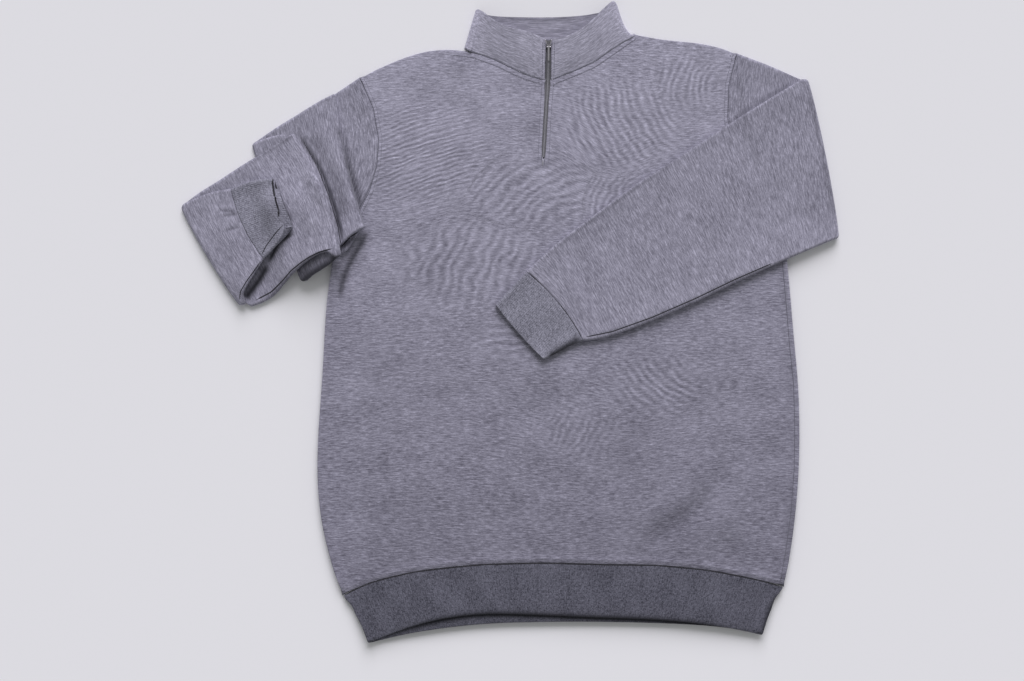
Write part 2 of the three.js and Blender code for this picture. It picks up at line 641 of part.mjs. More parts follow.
// The tape's upper face at a height along the zip: its middle, and its slope off the surface.
function zipPlace(y) {
  const i = ZIP.findIndex((row) => row.y > y);
  const [a, b] = [ZIP[i - 1], ZIP[i]];
  const position = new THREE.Vector3(zipX(y), y, readStraight(ZIP, 'y', 'z', y));
  return { position, slope: Math.atan2(b.z - a.z, b.y - a.y) };
}

function box(width, length, height, x, y, z) {
  return new THREE.BoxGeometry(width, length, height).translate(x, y, z + height / 2);
}

function join(geometries) {
  const parts = geometries.map((geometry) => {
    const bare = geometry.clone();
    bare.deleteAttribute('normal');
    bare.deleteAttribute('uv');
    const merged = mergeVertices(bare.index ? bare : mergeVertices(bare), 1e-4);
    return new wasm.Manifold(new wasm.Mesh({
      numProp: 3,
      vertProperties: new Float32Array(merged.attributes.position.array),
      triVerts: new Uint32Array(merged.index.array),
    }));
  });
  const mesh = parts.reduce((whole, part) => whole.add(part)).getMesh();
  const geometry = new THREE.BufferGeometry();
  geometry.setAttribute('position', new THREE.Float32BufferAttribute(mesh.vertProperties, 3));
  geometry.setIndex([...mesh.triVerts]);
  return geometry;
}

// A plate of the slider: wide at the mouth, where the tapes part, and narrow at the tail.
function sliderPlate(z) {
  const [mouth, tail, nose] = [SLIDER.mouth / 2, SLIDER.tail / 2, SLIDER.nose / 2];
  const end = SLIDER.length / 2;
  const outline = new THREE.Shape([
    new THREE.Vector2(-tail, -end),
    new THREE.Vector2(tail, -end),
    new THREE.Vector2(mouth, SLIDER_SHOULDER),
    new THREE.Vector2(mouth, SLIDER_CORNER),
    new THREE.Vector2(nose, end),
    new THREE.Vector2(-nose, end),
    new THREE.Vector2(-mouth, SLIDER_CORNER),
    new THREE.Vector2(-mouth, SLIDER_SHOULDER),
  ]);
  const plate = { depth: SLIDER.plate, bevelEnabled: false };
  return new THREE.ExtrudeGeometry(outline, plate).translate(0, 0, z);
}

const COIL_TOP = SEAM_GAP + ZIP_COIL_HEIGHT;
const PLATE_TOP = COIL_TOP + SLIDER.plate;
const HINGE_HEIGHT = PLATE_TOP + ARCH.rise / 2;

function slider() {
  const under = -ZIP_TAPE - SEAM_GAP - SLIDER.plate;
  const post = { width: 2 * (ZIP_TAPE_HIDDEN - SEAM_GAP), height: PLATE_TOP - under - 2 * SUNK };
  const postY = SLIDER.length / 2 - SLIDER_POST.length / 2 - SLIDER_POST.inset;
  const legY = (ARCH.length - ARCH.leg) / 2;
  const legHeight = ARCH.rise + 2 * SUNK;
  const lip = { x: (SLIDER.tail - SLIDER_LIP.thickness) / 2, height: ZIP_COIL_HEIGHT + SUNK };
  const sideLip = (side) => box(
    SLIDER_LIP.thickness, SLIDER_LIP.length, lip.height, side * lip.x, SLIDER_LIP.y, SEAM_GAP,
  );
  return join([
    sliderPlate(COIL_TOP),
    sliderPlate(under),
    box(post.width, SLIDER_POST.length, post.height, 0, postY, under + SUNK),
    box(ARCH.width, ARCH.leg, legHeight, 0, legY, PLATE_TOP - SUNK),
    box(ARCH.width, ARCH.leg, legHeight, 0, -legY, PLATE_TOP - SUNK),
    box(ARCH.width, ARCH.length, ARCH.cap, 0, 0, PLATE_TOP + ARCH.rise),
    sideLip(1),
    sideLip(-1),
  ]);
}

// The tab hangs from its top bar, which passes under the slider's arch.
function pullTab() {
  const [half, tip, bar] = [PULL.width / 2, PULL.tip / 2, PULL.bar / 2];
  const end = -PULL.length;
  const outline = new THREE.Shape();
  outline.moveTo(-half, bar);
  outline.lineTo(-tip, end + tip);
  outline.absarc(0, end + tip, tip, Math.PI, 2 * Math.PI, false);
  outline.lineTo(half, bar);
  const eye = new THREE.Path([
    new THREE.Vector2(-PULL.eye / 2, -bar),
    new THREE.Vector2(PULL.eye / 2, -bar),
    new THREE.Vector2(PULL.eye / 2, -bar - PULL.eyeLength),
    new THREE.Vector2(-PULL.eye / 2, -bar - PULL.eyeLength),
  ]);
  outline.holes.push(eye);
  return new THREE.ExtrudeGeometry(outline, {
    depth: PULL.thickness,
    bevelEnabled: false,
    curveSegments: 8,
  }).translate(0, 0, -PULL.thickness / 2);
}

// --- The garment ----------------------------------------------------------------------------------

const wasm = await Module();
wasm.setup();
const garment = new THREE.Group();

function add(name, geometry, look) {
  const mesh = new THREE.Mesh(geometry, new THREE.MeshStandardMaterial(look));
  mesh.name = name;
  garment.add(mesh);
  return mesh;
}

add('back_panel', backPanel(), FLEECE);
add('front_panel', frontPanel(), FLEECE);
add('collar', collar(), FLEECE);
add('sleeve_right', sleeve(EDGE_RIGHT, ARMPIT_ROW_RIGHT, -1, halved(SLEEVE_RIGHT), LAYERS_RIGHT), FLEECE);
add('sleeve_left', sleeve(EDGE_LEFT, ARMPIT_ROW_LEFT, 1, SLEEVE_LEFT, LAYERS_LEFT), FLEECE);
add('cuff_right', cuff(CUFF_RIGHT, LAYERS_RIGHT.at(-1)), RIB_GREY);
add('cuff_left', cuff(CUFF_LEFT, LAYERS_LEFT.at(-1)), RIB_GREY);
add('hem_band', hemBand(), RIB_DARK);
add('zip_tape_right', zipTape(-1), TAPE);
add('zip_tape_left', zipTape(1), TAPE);
add('zip_coil', zipCoil(), COIL);

const { position: sliderAt, slope } = zipPlace(SLIDER.y);
const sliderMesh = add('zip_slider', slider(), METAL);
sliderMesh.position.copy(sliderAt);
sliderMesh.rotation.x = slope;
const pull = add('zip_pull', pullTab(), METAL);
pull.position.copy(new THREE.Vector3(0, 0, HINGE_HEIGHT).applyEuler(sliderMesh.rotation).add(sliderAt));
pull.rotation.x = slope + THREE.MathUtils.degToRad(PULL_TILT);

// The origin is the middle of the bounding box, on the surface.
const bounds = new THREE.Box3().setFromObject(garment);
const middle = bounds.getCenter(new THREE.Vector3());
garment.position.set(-middle.x, -middle.y, -bounds.min.z);

export default garment;
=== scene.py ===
"""Quarter zip sweatshirt of heather fleece, laid flat: the looks of every piece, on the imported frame.

Sizes in the tables are millimetres in the pattern's own frame, whose X is 0 near the middle of the
body and whose Y is 0 near the hem; at() places them in the row frame, in metres.
"""

import math

import bmesh
import bpy
import numpy as np
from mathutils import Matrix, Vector
from mathutils.bvhtree import BVHTree


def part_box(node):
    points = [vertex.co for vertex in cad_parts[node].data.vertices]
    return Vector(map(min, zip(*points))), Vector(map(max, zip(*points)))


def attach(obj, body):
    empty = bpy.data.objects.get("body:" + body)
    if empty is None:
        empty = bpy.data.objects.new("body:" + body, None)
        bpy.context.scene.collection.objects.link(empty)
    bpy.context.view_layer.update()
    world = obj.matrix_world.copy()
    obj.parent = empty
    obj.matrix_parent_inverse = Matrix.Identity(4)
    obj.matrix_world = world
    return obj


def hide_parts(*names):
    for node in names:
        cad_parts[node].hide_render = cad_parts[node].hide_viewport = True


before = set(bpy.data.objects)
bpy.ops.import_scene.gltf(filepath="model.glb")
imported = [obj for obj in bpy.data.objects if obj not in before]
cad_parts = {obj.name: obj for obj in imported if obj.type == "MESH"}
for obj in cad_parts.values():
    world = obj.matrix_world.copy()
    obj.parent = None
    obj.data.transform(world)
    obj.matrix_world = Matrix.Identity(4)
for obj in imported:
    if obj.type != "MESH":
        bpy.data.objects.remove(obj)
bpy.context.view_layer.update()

MM = 0.001
FRONT_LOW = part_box("front_panel")[0]
# Where the pattern's zero point lies: the front's outer corner is at (-301.4, 30) in the pattern.
ZERO = Vector((FRONT_LOW.x + 301.4 * MM, FRONT_LOW.y - 30 * MM, 0))
DOWN = Vector((0, 0, -1))
ABOVE_ALL = 60  # a height over every piece, from which rays are sent down


def at(x, y, z=0.0):
    return ZERO + Vector((x, y, z)) * MM


def smooth(t):
    t = np.clip(t, 0, 1)
    return t * t * (3 - 2 * t)


def curve_through(rows, count):
    """Evenly spaced points on a smooth curve through rows of numbers."""
    rows = np.array(rows, float)
    knots = np.array([2 * rows[0] - rows[1], *rows, 2 * rows[-1] - rows[-2]])
    t = np.linspace(0, len(rows) - 1, count)
    i = np.minimum(t.astype(int), len(rows) - 2)
    f = (t - i)[:, None]
    return spline(knots[i], knots[i + 1], knots[i + 2], knots[i + 3], f)


def spline(a, b, c, d, f):
    """Catmull-Rom curve from b to c."""
    bend = (c - a) * f + (2 * a - 5 * b + 4 * c - d) * f**2 + (3 * b - a - 3 * c + d) * f**3
    return b + 0.5 * bend


def lengths_along(line):
    return np.concatenate([[0], np.cumsum(np.linalg.norm(np.diff(line, axis=0), axis=1))])


def evenly(line, step):
    """Points a step apart along a line."""
    line = np.array(line, float)
    along = lengths_along(line)
    places = np.linspace(0, along[-1], max(2, round(along[-1] / step)))
    return np.column_stack([np.interp(places, along, line[:, k]) for k in range(line.shape[1])])


CREASE = "width depth path"  # depth is below 0 for a trough, above it for a ridge
CREVICE = "width dark press path"  # dark and press are shares: how much painted shade darkens the colour, how much lower it is pressed
# The upper and lower edge of a tube's section, how far its middle bows, how far its lower edge is lifted,
# the side of a fold (-1 or 1), whether the fold keeps its corners, and an outline that it follows.
SLEEVE_ROW = "upper lower bow lift fold sharp line"
# The same, then how far the cuff's lower layer slants and how far its upper one stands open.
CUFF_ROW = "upper lower bow lift slant open"


def rows_of(names, *rows):
    """Rows of a table as dictionaries; a row may leave out the last names."""
    return [dict(zip(names.split(), row)) for row in rows]


# --- Meshes ---------------------------------------------------------------------------------------

def placed(name, data):
    obj = bpy.data.objects.new(name, data)
    bpy.context.scene.collection.objects.link(obj)
    return obj


def mesh_of(name, points, faces):
    mesh = bpy.data.meshes.new(name)
    mesh.from_pydata([tuple(p) for p in points], [], faces)
    mesh.update()
    return placed(name, mesh)


def made(name, bm):
    mesh = bpy.data.meshes.new(name)
    bm.to_mesh(mesh)
    bm.free()
    return placed(name, mesh)


def points_of(obj):
    flat = np.empty(len(obj.data.vertices) * 3)
    obj.data.vertices.foreach_get("co", flat)
    return flat.reshape(-1, 3)


def put_points(obj, points):
    obj.data.vertices.foreach_set("co", points.astype(np.float32).ravel())
    obj.data.update()


def pattern(points):
    """Pattern X and Y, in millimetres, of points in the row frame."""
    return (points[:, 0] - ZERO.x) / MM, (points[:, 1] - ZERO.y) / MM


def tree_of(obj):
    mesh = obj.data
    return BVHTree.FromPolygons([v.co for v in mesh.vertices], [tuple(p.vertices) for p in mesh.polygons])


def turn_outwards(obj):
    """Makes all faces of a closed mesh face outwards."""
    bm = bmesh.new()
    bm.from_mesh(obj.data)
    bmesh.ops.recalc_face_normals(bm, faces=bm.faces)
    bm.to_mesh(obj.data)
    bm.free()


def ring_round(place, side, up, count):
    """Points of an ellipse round a place, from its two half axes."""
    turns = [2 * math.pi * k / count for k in range(count)]
    return [place + side * math.cos(turn) + up * math.sin(turn) for turn in turns]


def across_line(places, i, normal):
    """Directions across a line of places at one of them: to its side, and off its ground."""
    ahead = (places[min(i + 1, len(places) - 1)] - places[max(i - 1, 0)]).normalized()
    side = ahead.cross(normal).normalized()
    return side, side.cross(ahead)


def strip(a, b, count):
    """Quads between two closed rings of points, from the number of each one's first point."""
    return [(a + k, a + (k + 1) % count, b + (k + 1) % count, b + k) for k in range(count)]


def strips(first, rings, count):
    """Quads between closed rings of points that follow on each other."""
    return sum((strip(a, a + count, count) for a in range(first, first + (rings - 1) * count, count)), [])


def loop_faces(first, rings, count):
    """Faces of a closed tube of rings of points, with its ends closed."""
    last = first + (rings - 1) * count
    start = tuple(range(first + count - 1, first - 1, -1))
    return [*strips(first, rings, count), start, tuple(range(last, last + count))]


# --- Panels and hem band: shells refined from the frame ---------------------------------------------

# `ring` is the number of points round one section of a tube, 0 for a flat panel.
SHELLS = {
    "back": {"node": "back_panel", "ring": 0, "level": 2},
    "front": {"node": "front_panel", "ring": 0, "level": 3},
    "hem": {"node": "hem_band", "ring": 38, "level": 3},
}
EDGE_LOOP = 3.0 * MM  # distance of the supporting loop from a cut edge
SHARP = math.radians(60)
CORNER = math.radians(28)  # turn of an outline from which it stays a corner


def quads_of(node):
    """The CAD solid as a mesh of quads, the grid it was built on."""
    bm = bmesh.new()
    bm.from_mesh(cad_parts[node].data)
    bmesh.ops.remove_doubles(bm, verts=bm.verts, dist=1e-6)
    bmesh.ops.join_triangles(
        bm,
        faces=bm.faces,
        angle_face_threshold=math.pi,
        angle_shape_threshold=math.pi,
        topology_influence=1,
    )
    return bm


def ring_from(edge):
    """The closed loop of edges that runs on through vertices of four edges, or None."""
    loop = [edge]
    start, vert = edge.verts
    while vert != start:
        if len(vert.link_edges) != 4:
            return None
        faces = set(loop[-1].link_faces)
        onward = [e for e in vert.link_edges if not faces & set(e.link_faces)]
        if len(onward) != 1:
            return None
        loop.append(onward[0])
        vert = onward[0].other_vert(vert)
    return loop


def rim_faces(bm, ring):
    """The narrow faces at the cut edges of the wall."""
    if not ring:
        return {f for f in bm.faces if abs(f.normal.z) < 0.5}
    seen, sharp = set(), set()
    for edge in bm.edges:
        if edge in seen:
            continue
        loop = ring_from(edge) or [edge]
        seen.update(loop)
        if len(loop) == ring and sum(e.calc_face_angle() for e in loop) / ring > SHARP:
            sharp.update(loop)
    return {f for f in bm.faces if sum(e in sharp for e in f.edges) == 2}


def outline_edges(bm, rims, up):
    """Edges between the rim and the skin that faces up (1) or down (-1)."""
    found = []
    for edge in bm.edges:
        skins = [f for f in edge.link_faces if f not in rims]
        if len(skins) == 1 and len(edge.link_faces) == 2 and skins[0].normal.z * up > 0.5:
            found.append(edge)
    return found


def keep_corners(bm, rims):
    """Creases the corners of a flat panel's outline, so that they aren't rounded off."""
    layer = bm.verts.layers.float.new("crease_vert")
    for up in (1, -1):
        edges = set(outline_edges(bm, rims, up))
        for vert in bm.verts:
            ends = [e.other_vert(vert).co - vert.co for e in vert.link_edges if e in edges]
            if len(ends) == 2 and math.pi - ends[0].angle(ends[1]) > CORNER:
                vert[layer] = 1.0


def refined(obj, level):
    """Replaces the mesh by its subdivided surface."""
    modifier = obj.modifiers.new("fine", "SUBSURF")
    modifier.levels = level
    modifier.render_levels = level
    graph = bpy.context.evaluated_depsgraph_get()
    mesh = bpy.data.meshes.new_from_object(obj.evaluated_get(graph))
    obj.modifiers.clear()
    obj.data = mesh
    mesh.name = obj.name
    return obj


def shell(name):
    row = SHELLS[name]
    bm = quads_of(row["node"])
    rims = rim_faces(bm, row["ring"])
    if not row["ring"]:
        keep_corners(bm, rims)
    skin = [f for f in bm.faces if f not in rims]
    bmesh.ops.inset_region(
        bm,
        faces=skin,
        thickness=EDGE_LOOP,
        use_boundary=True,
        use_even_offset=True,
    )
    return refined(made(name, bm), row["level"])


def outline(node):
    """The closed upper outline of a flat panel, in pattern X and Y."""
    bm = quads_of(node)
    edges = outline_edges(bm, rim_faces(bm, 0), 1)
    left = set(edges)
    edge = edges[0]
    loop = [edge.verts[0]]
    vert = edge.verts[1]
    left.discard(edge)
    while vert != loop[0]:
        loop.append(vert)
        edge = next(e for e in vert.link_edges if e in left)
        left.discard(edge)
        vert = edge.other_vert(vert)
    points = np.array([v.co for v in loop])
    bm.free()
    return np.column_stack(pattern(points))


def run_between(loop, start, end):
    """The shorter way along a closed outline from the corner nearest start to the one nearest end."""
    first = np.argmin(np.linalg.norm(loop - start, axis=1))
    last = np.argmin(np.linalg.norm(loop - end, axis=1))
    count = len(loop)
    onward = loop[[(first + k) % count for k in range((last - first) % count + 1)]]
    back = loop[[(first - k) % count for k in range((first - last) % count + 1)]]
    return onward if lengths_along(onward)[-1] < lengths_along(back)[-1] else back


SHOULDER_RIGHT, ARMPIT_RIGHT = (-249, 673), (-279, 465)
SHOULDER_LEFT, ARMPIT_LEFT = (220, 703), (279, 471)
NECK_RIGHT, NECK_LEFT = (-120, 707), (88, 727)
CUT_RIGHT, CUT_LEFT = (-19, 670), (-11, 670)
HEM_RIGHT, HEM_LEFT = (-270, 30), (278, 41)
FRONT_OUTLINE = outline("front_panel")
ARMHOLE_RIGHT = run_between(FRONT_OUTLINE, SHOULDER_RIGHT, ARMPIT_RIGHT)
ARMHOLE_LEFT = run_between(FRONT_OUTLINE, SHOULDER_LEFT, ARMPIT_LEFT)
SIDE_RIGHT = run_between(FRONT_OUTLINE, HEM_RIGHT, ARMPIT_RIGHT)
SIDE_LEFT = run_between(FRONT_OUTLINE, HEM_LEFT, ARMPIT_LEFT)
HEM_SEAM = run_between(FRONT_OUTLINE, HEM_RIGHT, HEM_LEFT)
NECK_SEAM_RIGHT = run_between(FRONT_OUTLINE, CUT_RIGHT, NECK_RIGHT)
NECK_SEAM_LEFT = run_between(FRONT_OUTLINE, CUT_LEFT, NECK_LEFT)

# --- Sleeves and cuffs: flattened tubes through rows -------------------------------------------------

FLEECE_HALF, FLEECE_WALL = 2.3, 2.0  # half a flattened sleeve's thickness, and its cloth
RIB_HALF, RIB_WALL = 2.5, 2.2
LAYER = 5.0  # from one layer of a sleeve to the next
LOOSE_LAYER = 6.2  # the same in the springier pile of the right sleeve
HILL_REACH = 32  # how far a layer takes to come down off a pile
FOLD_STEPS = 6
CORNER_ROUND, CORNER_REACH = 4.0, 5.0  # how far a fold's corners are drawn in, and how far along it
EDGE_POINTS = (0.0, 0.3, 1.0, 2.2)  # distances of points from a tube's edge, in half thicknesses
POINTS_BETWEEN = 7
ROLL = 0.45  # how much thicker the rounded edge is than the middle
ROLL_REACH = 7
FINE_SLEEVE, FINE_CUFF = 2.5, 1.3  # distances between the points of the finished tubes
FRONT_TOP = 4.3  # height of the front's upper face at its closed edges

front_tree = tree_of(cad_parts["front_panel"])


def fullness(plan):
    """How far the front has risen off the back at each place."""
    rise = np.zeros(len(plan))
    for i, (x, y) in enumerate(plan):
        hit = front_tree.ray_cast(at(x, y, ABOVE_ALL), DOWN)[0]
        if hit is not None:
            rise[i] = max(hit.z / MM - FRONT_TOP, 0)
    return rise


def hill(row, height):
    """Height that a layer gains by lying over a pile whose edge runs along a fold line."""
    upper, lower = np.array(row["upper"], float), np.array(row["lower"], float)
    dx, dy = (lower - upper) / np.linalg.norm(lower - upper)

    def rise(plan):
        beyond = (plan[:, 1] - upper[1]) * dx - (plan[:, 0] - upper[0]) * dy
        return height * smooth(1 + beyond / HILL_REACH)

    return rise


def pleat_depth(shares, least=0.06, reach=0.55):
    """The pleats fade out towards the sleeve's upper edge."""
    return least + (1 - least) * smooth(shares / reach)


# The right sleeve is laid back and forth on itself.
SLEEVE_RIGHT = rows_of(
    SLEEVE_ROW,
    ((-249, 673), (-279, 465), 0, 0, 0, False, ARMHOLE_RIGHT),
    ((-293, 645), (-297, 458), 0, 0, -1, True),
    ((-286, 648), (-268, 455), 0, 1, 0),
    ((-279, 653), (-241, 485), -4, 4, 1, True),
    ((-300, 643), (-260, 474), -2, 6, 0),
    ((-326, 627), (-283, 452), 0, 3, 0),
    ((-352, 611), (-303, 433), 0, 1, 0),
    ((-384, 591), (-321, 418), 0, 0, -1),
    ((-365, 598), (-303, 428), 0, 2, 0),
    ((-345, 603), (-284, 440), 2, 4, 0),
    ((-331, 604), (-270, 450), 10, 4, 1, True),
    ((-352, 592), (-288, 455), 6, 6, 0),
    ((-374, 577), (-308, 446), 3, 7, 0),
    ((-398, 562), (-330, 428), 0, 6, 0),
    ((-424, 545), (-356, 401), 0, 3, 0),
    ((-448, 530), (-382, 389), 0, 1, 0),
    ((-472, 513), (-397, 388), -3, 0, -1),
    ((-453, 523), (-391, 405), -2, 5, 0),
    ((-431, 531), (-379, 427), -3, 7, 0),
    ((-408, 535), (-366, 447), -6, 7, 0),
)
CUFF_RIGHT = rows_of(
    CUFF_ROW,
    ((-408, 535), (-366, 447), -6, 7, 0, 0),
    ((-390, 542), (-354, 459), -2, 6, 0, 0),
    ((-372, 546), (-344, 470), 1, 4.5, 4, 1.2),
    ((-356, 547), (-338, 482), 2, 4, 9, 2.6),
)
# Left sleeve: out to its fold, then back over the front.
SLEEVE_LEFT = rows_of(
    SLEEVE_ROW,
    ((220, 703), (279, 471), 0, 0, 0, False, ARMHOLE_LEFT),
    ((262, 687), (309, 471), -14, 0, 0),
    ((308, 672), (347, 473), 3, 1, 1),
    ((262, 648), (311, 460), 0, 3, 0),
    ((203, 611), (267, 441), 0, 3.5, 0),
    ((143, 571), (217, 418), 0, 3, 0),
    ((91, 538), (167, 394), 0, 2.5, 0),
    ((42, 502), (114, 371), 0, 2.5, 0),
    ((0, 470), (65, 353), 2, 2, 0),
    ((-24, 449), (44, 348), 4, 1.5, 0),
    ((-42, 432), (29, 346), 6, 1, 0),
)
CUFF_LEFT = rows_of(
    CUFF_ROW,
    ((-42, 432), (29, 346), 6, 1, 0, 0),
    ((-54, 419), (13, 340), 3, 1, 0, 0),
    ((-67, 405), (-4, 331), 0, 1.5, 0.5, 0.4),
    ((-80, 391), (-20, 323), -2, 2, 1.5, 1.0),
)
FOLDS_RIGHT = [row for row in SLEEVE_RIGHT if row["fold"]]
over_first = hill(FOLDS_RIGHT[0], 2 * LOOSE_LAYER)
over_second = hill(FOLDS_RIGHT[2], 2 * LOOSE_LAYER)


def layer_of(pile, half=FLEECE_HALF, least=0.06, reach=0.55):
    """Height of a layer's middle: a pile under it that fades towards the sleeve's upper edge."""
    return lambda plan, shares: half + fullness(plan) + pleat_depth(shares, least, reach) * pile(plan)


LAYERS_RIGHT = [
    lambda plan, shares: np.full(len(plan), FLEECE_HALF),
    layer_of(lambda plan: LOOSE_LAYER),
    layer_of(over_first),
    layer_of(lambda plan: LOOSE_LAYER + over_first(plan)),
    layer_of(lambda plan: over_first(plan) + over_second(plan)),
    layer_of(lambda plan: LOOSE_LAYER + over_first(plan) + over_second(plan), least=0.4),
]
LAYERS_LEFT = [
    lambda plan, shares: np.full(len(plan), FLEECE_HALF),
    lambda plan, shares: FLEECE_HALF + LAYER + fullness(plan),
]
SEAM = 0.4  # gap between a cuff and its sleeve


def section(row, half, depth):
    """Shares across a row, the plan points there, and half the thickness at each."""
    upper, lower = np.array(row["upper"], float), np.array(row["lower"], float)
    reach = lower - upper
    width = np.linalg.norm(reach)
    inner = half - depth
    inside = depth / width
    edge = np.array(EDGE_POINTS) * inner / (width - 2 * depth)
    middle = np.linspace(edge[-1], 1 - edge[-1], POINTS_BETWEEN + 2)[1:-1]
    shares = inside + np.concatenate([edge, middle, 1 - edge[::-1]]) * (1 - 2 * inside)
    aside = np.array([-reach[1], reach[0]]) / width
    plan = upper + np.outer(shares, reach) + np.outer(row["bow"] * (1 - (2 * shares - 1) ** 2), aside)
    if "line" in row:
        along = lengths_along(row["line"]) / lengths_along(row["line"])[-1]
        plan = np.column_stack([np.interp(shares, along, row["line"][:, k]) for k in (0, 1)])
    from_edge = np.minimum(shares, 1 - shares) * width - depth
    within = np.clip(from_edge, 0, inner)
    rise = np.sqrt(inner**2 - (inner - within) ** 2)
    if not depth:
        rise = rise * (1 + ROLL * np.exp(-((from_edge - half) / ROLL_REACH) ** 2))
    return plan, shares, rise, aside, width


def ring_of(upper_side, lower_side):
    return np.concatenate([upper_side, lower_side[-2:0:-1]])


def flat_ring(row, part, height, facing):
    plan, shares, rise, aside, _ = part
    sides = []
    for side in (1, -1):
        slant = row.get("slant", 0) if side < 0 else 0
        open_by = row.get("open", 0) if side > 0 else 0
        place = plan + np.outer(slant * (0.35 + 0.65 * smooth(shares / 0.6)), aside)
        sides.append(np.column_stack([place, height + side * facing * rise + open_by]))
    return ring_of(*sides)


def fold_rings(row, part, below, above, lifted, facing):
    """Half a turn from one layer up to the next, out to the row's own line."""
    plan, shares, rise, aside, width = part
    out = aside if aside[0] * row["fold"] > 0 else -aside
    ends = np.exp(-shares * width / CORNER_REACH) + np.exp(-(1 - shares) * width / CORNER_REACH)
    if not row.get("sharp"):
        plan = plan - np.outer(CORNER_ROUND * ends, out)
    inset = FLEECE_HALF + (above(plan, shares) - below(plan, shares)) / 2
    axis = plan - np.outer(inset, out)
    base = below(axis, shares)
    turn = (above(axis, shares) - base) / 2
    rings = []
    for angle in np.linspace(0, math.pi, FOLD_STEPS + 1):
        sides = []
        for side in (1, -1):
            radius = np.maximum(turn - side * facing * rise, 0.15)
            place = axis + np.outer(radius * math.sin(angle), out)
            sides.append(np.column_stack([place, base + lifted + turn - radius * math.cos(angle)]))
        rings.append(ring_of(*sides))
    return rings


def tube_rings(rows, layers, half, depth):
    rings = []
    stretch = 0
    for row in rows:
        part = section(row, half, depth)
        plan, shares = part[:2]
        facing = -1 if stretch % 2 else 1
        lifted = row["lift"] * shares**3
        if row.get("fold", 0):
            rings += fold_rings(row, part, layers[stretch], layers[stretch + 1], lifted, facing)
            stretch += 1
        else:
            rings.append(flat_ring(row, part, layers[stretch](plan, shares) + lifted, facing))
    return np.array(rings)


def ends_added(grid, closed):
    """The grid with the rows before and after it that its curves need at their ends."""
    if closed:
        return np.concatenate([grid[-1:], grid, grid[:2]])
    return np.concatenate([2 * grid[:1] - grid[1:2], grid, 2 * grid[-1:] - grid[-2:-1]])


def steps_of(grid, step, closed):
    """How many steps to take between neighbouring rows of a grid."""
    gaps = np.linalg.norm(np.diff(ends_added(grid, closed)[1:-1], axis=0), axis=2).mean(axis=1)
    steps = np.maximum(np.ceil(gaps / step), 1).astype(int)
    if closed:
        half_way = len(steps) // 2
        steps[half_way:] = steps[:half_way][::-1]
    return steps


def finer(grid, steps, closed):
    """More rows of a grid of points, on smooth curves along its first axis."""
    knots = ends_added(grid, closed)
    gaps = np.maximum(np.linalg.norm(np.diff(knots, axis=0), axis=2)[..., None], 1e-6)
    slopes = (knots[2:] - knots[:-2]) / (gaps[1:] + gaps[:-1])
    rows = []
    for i, count in enumerate(steps):
        a, b, gap = knots[i + 1], knots[i + 2], gaps[i + 1]
        for f in np.arange(count) / count:
            leave, arrive = f * (1 - f) ** 2, f**2 * (f - 1)
            share = f**2 * (3 - 2 * f)
            rows.append(a + share * (b - a) + gap * (leave * slopes[i] + arrive * slopes[i + 1]))
    return np.array(rows if closed else rows + [grid[-1]])


def runs_of(grid):
    """How far round a tube and along it each point is, with the lower side as the upper one's mirror."""
    steps = np.linalg.norm(np.diff(grid, axis=0), axis=2).mean(axis=1)
    along = np.concatenate([[0], np.cumsum(steps)])
    count = grid.shape[1]
    half_way = count // 2
    round_it = np.cumsum(np.linalg.norm(np.diff(grid, axis=1, append=grid[:, :1]), axis=2), axis=1)
    folded_back = 2 * round_it[:, half_way:half_way + 1] - round_it
    round_it = np.where(np.arange(count) > half_way, folded_back, round_it)
    return np.column_stack([round_it.ravel(), np.repeat(along, count)])


def tube(name, rows, layers, half, wall, fine):
    """A sleeve or cuff with its wall, and how far round it and along it each of its points is."""
    rough = tube_rings(rows, layers, half, 0)
    along_steps = steps_of(rough, fine, False)
    round_steps = steps_of(rough.swapaxes(0, 1), fine, True)
    grids = []
    for depth in (0, wall):
        grid = finer(tube_rings(rows, layers, half, depth), along_steps, False)
        grid = finer(grid.swapaxes(0, 1), round_steps, True).swapaxes(0, 1)
        grid[:, :, 2] = np.maximum(grid[:, :, 2], 0 if not depth else wall * 0.5)
        grids.append(grid)
    rings, count = grids[0].shape[:2]
    points = np.concatenate([grid.reshape(-1, 3) for grid in grids]) * MM + np.array(ZERO)
    inner = rings * count
    end = inner - count
    outwards = strips(0, rings, count) + strip(end, end + inner, count)
    inwards = strips(inner, rings, count) + strip(0, inner, count)
    obj = mesh_of(name, points, outwards + [face[::-1] for face in inwards])
    turn_outwards(obj)
    return obj, np.concatenate([runs_of(grid) for grid in grids])


def cuff_rows(rows):
    """The rows of a cuff, which starts a seam's gap past the end of its sleeve."""
    first, second = rows[:2]
    upper, lower = np.array(first["upper"], float), np.array(first["lower"], float)
    share = SEAM / np.linalg.norm(np.array(second["upper"], float) - upper)
    moved = {
        "upper": upper + share * (np.array(second["upper"]) - upper),
        "lower": lower + share * (np.array(second["lower"]) - lower),
    }
    return [{**first, **moved}, *rows[1:]]


# --- Creases --------------------------------------------------------------------------------------

CREASE_POINTS = 24
MANY = 12  # a path of so many points is already a smooth line
EVEN = 0.05  # run-out of a crease that stays even nearly to its ends


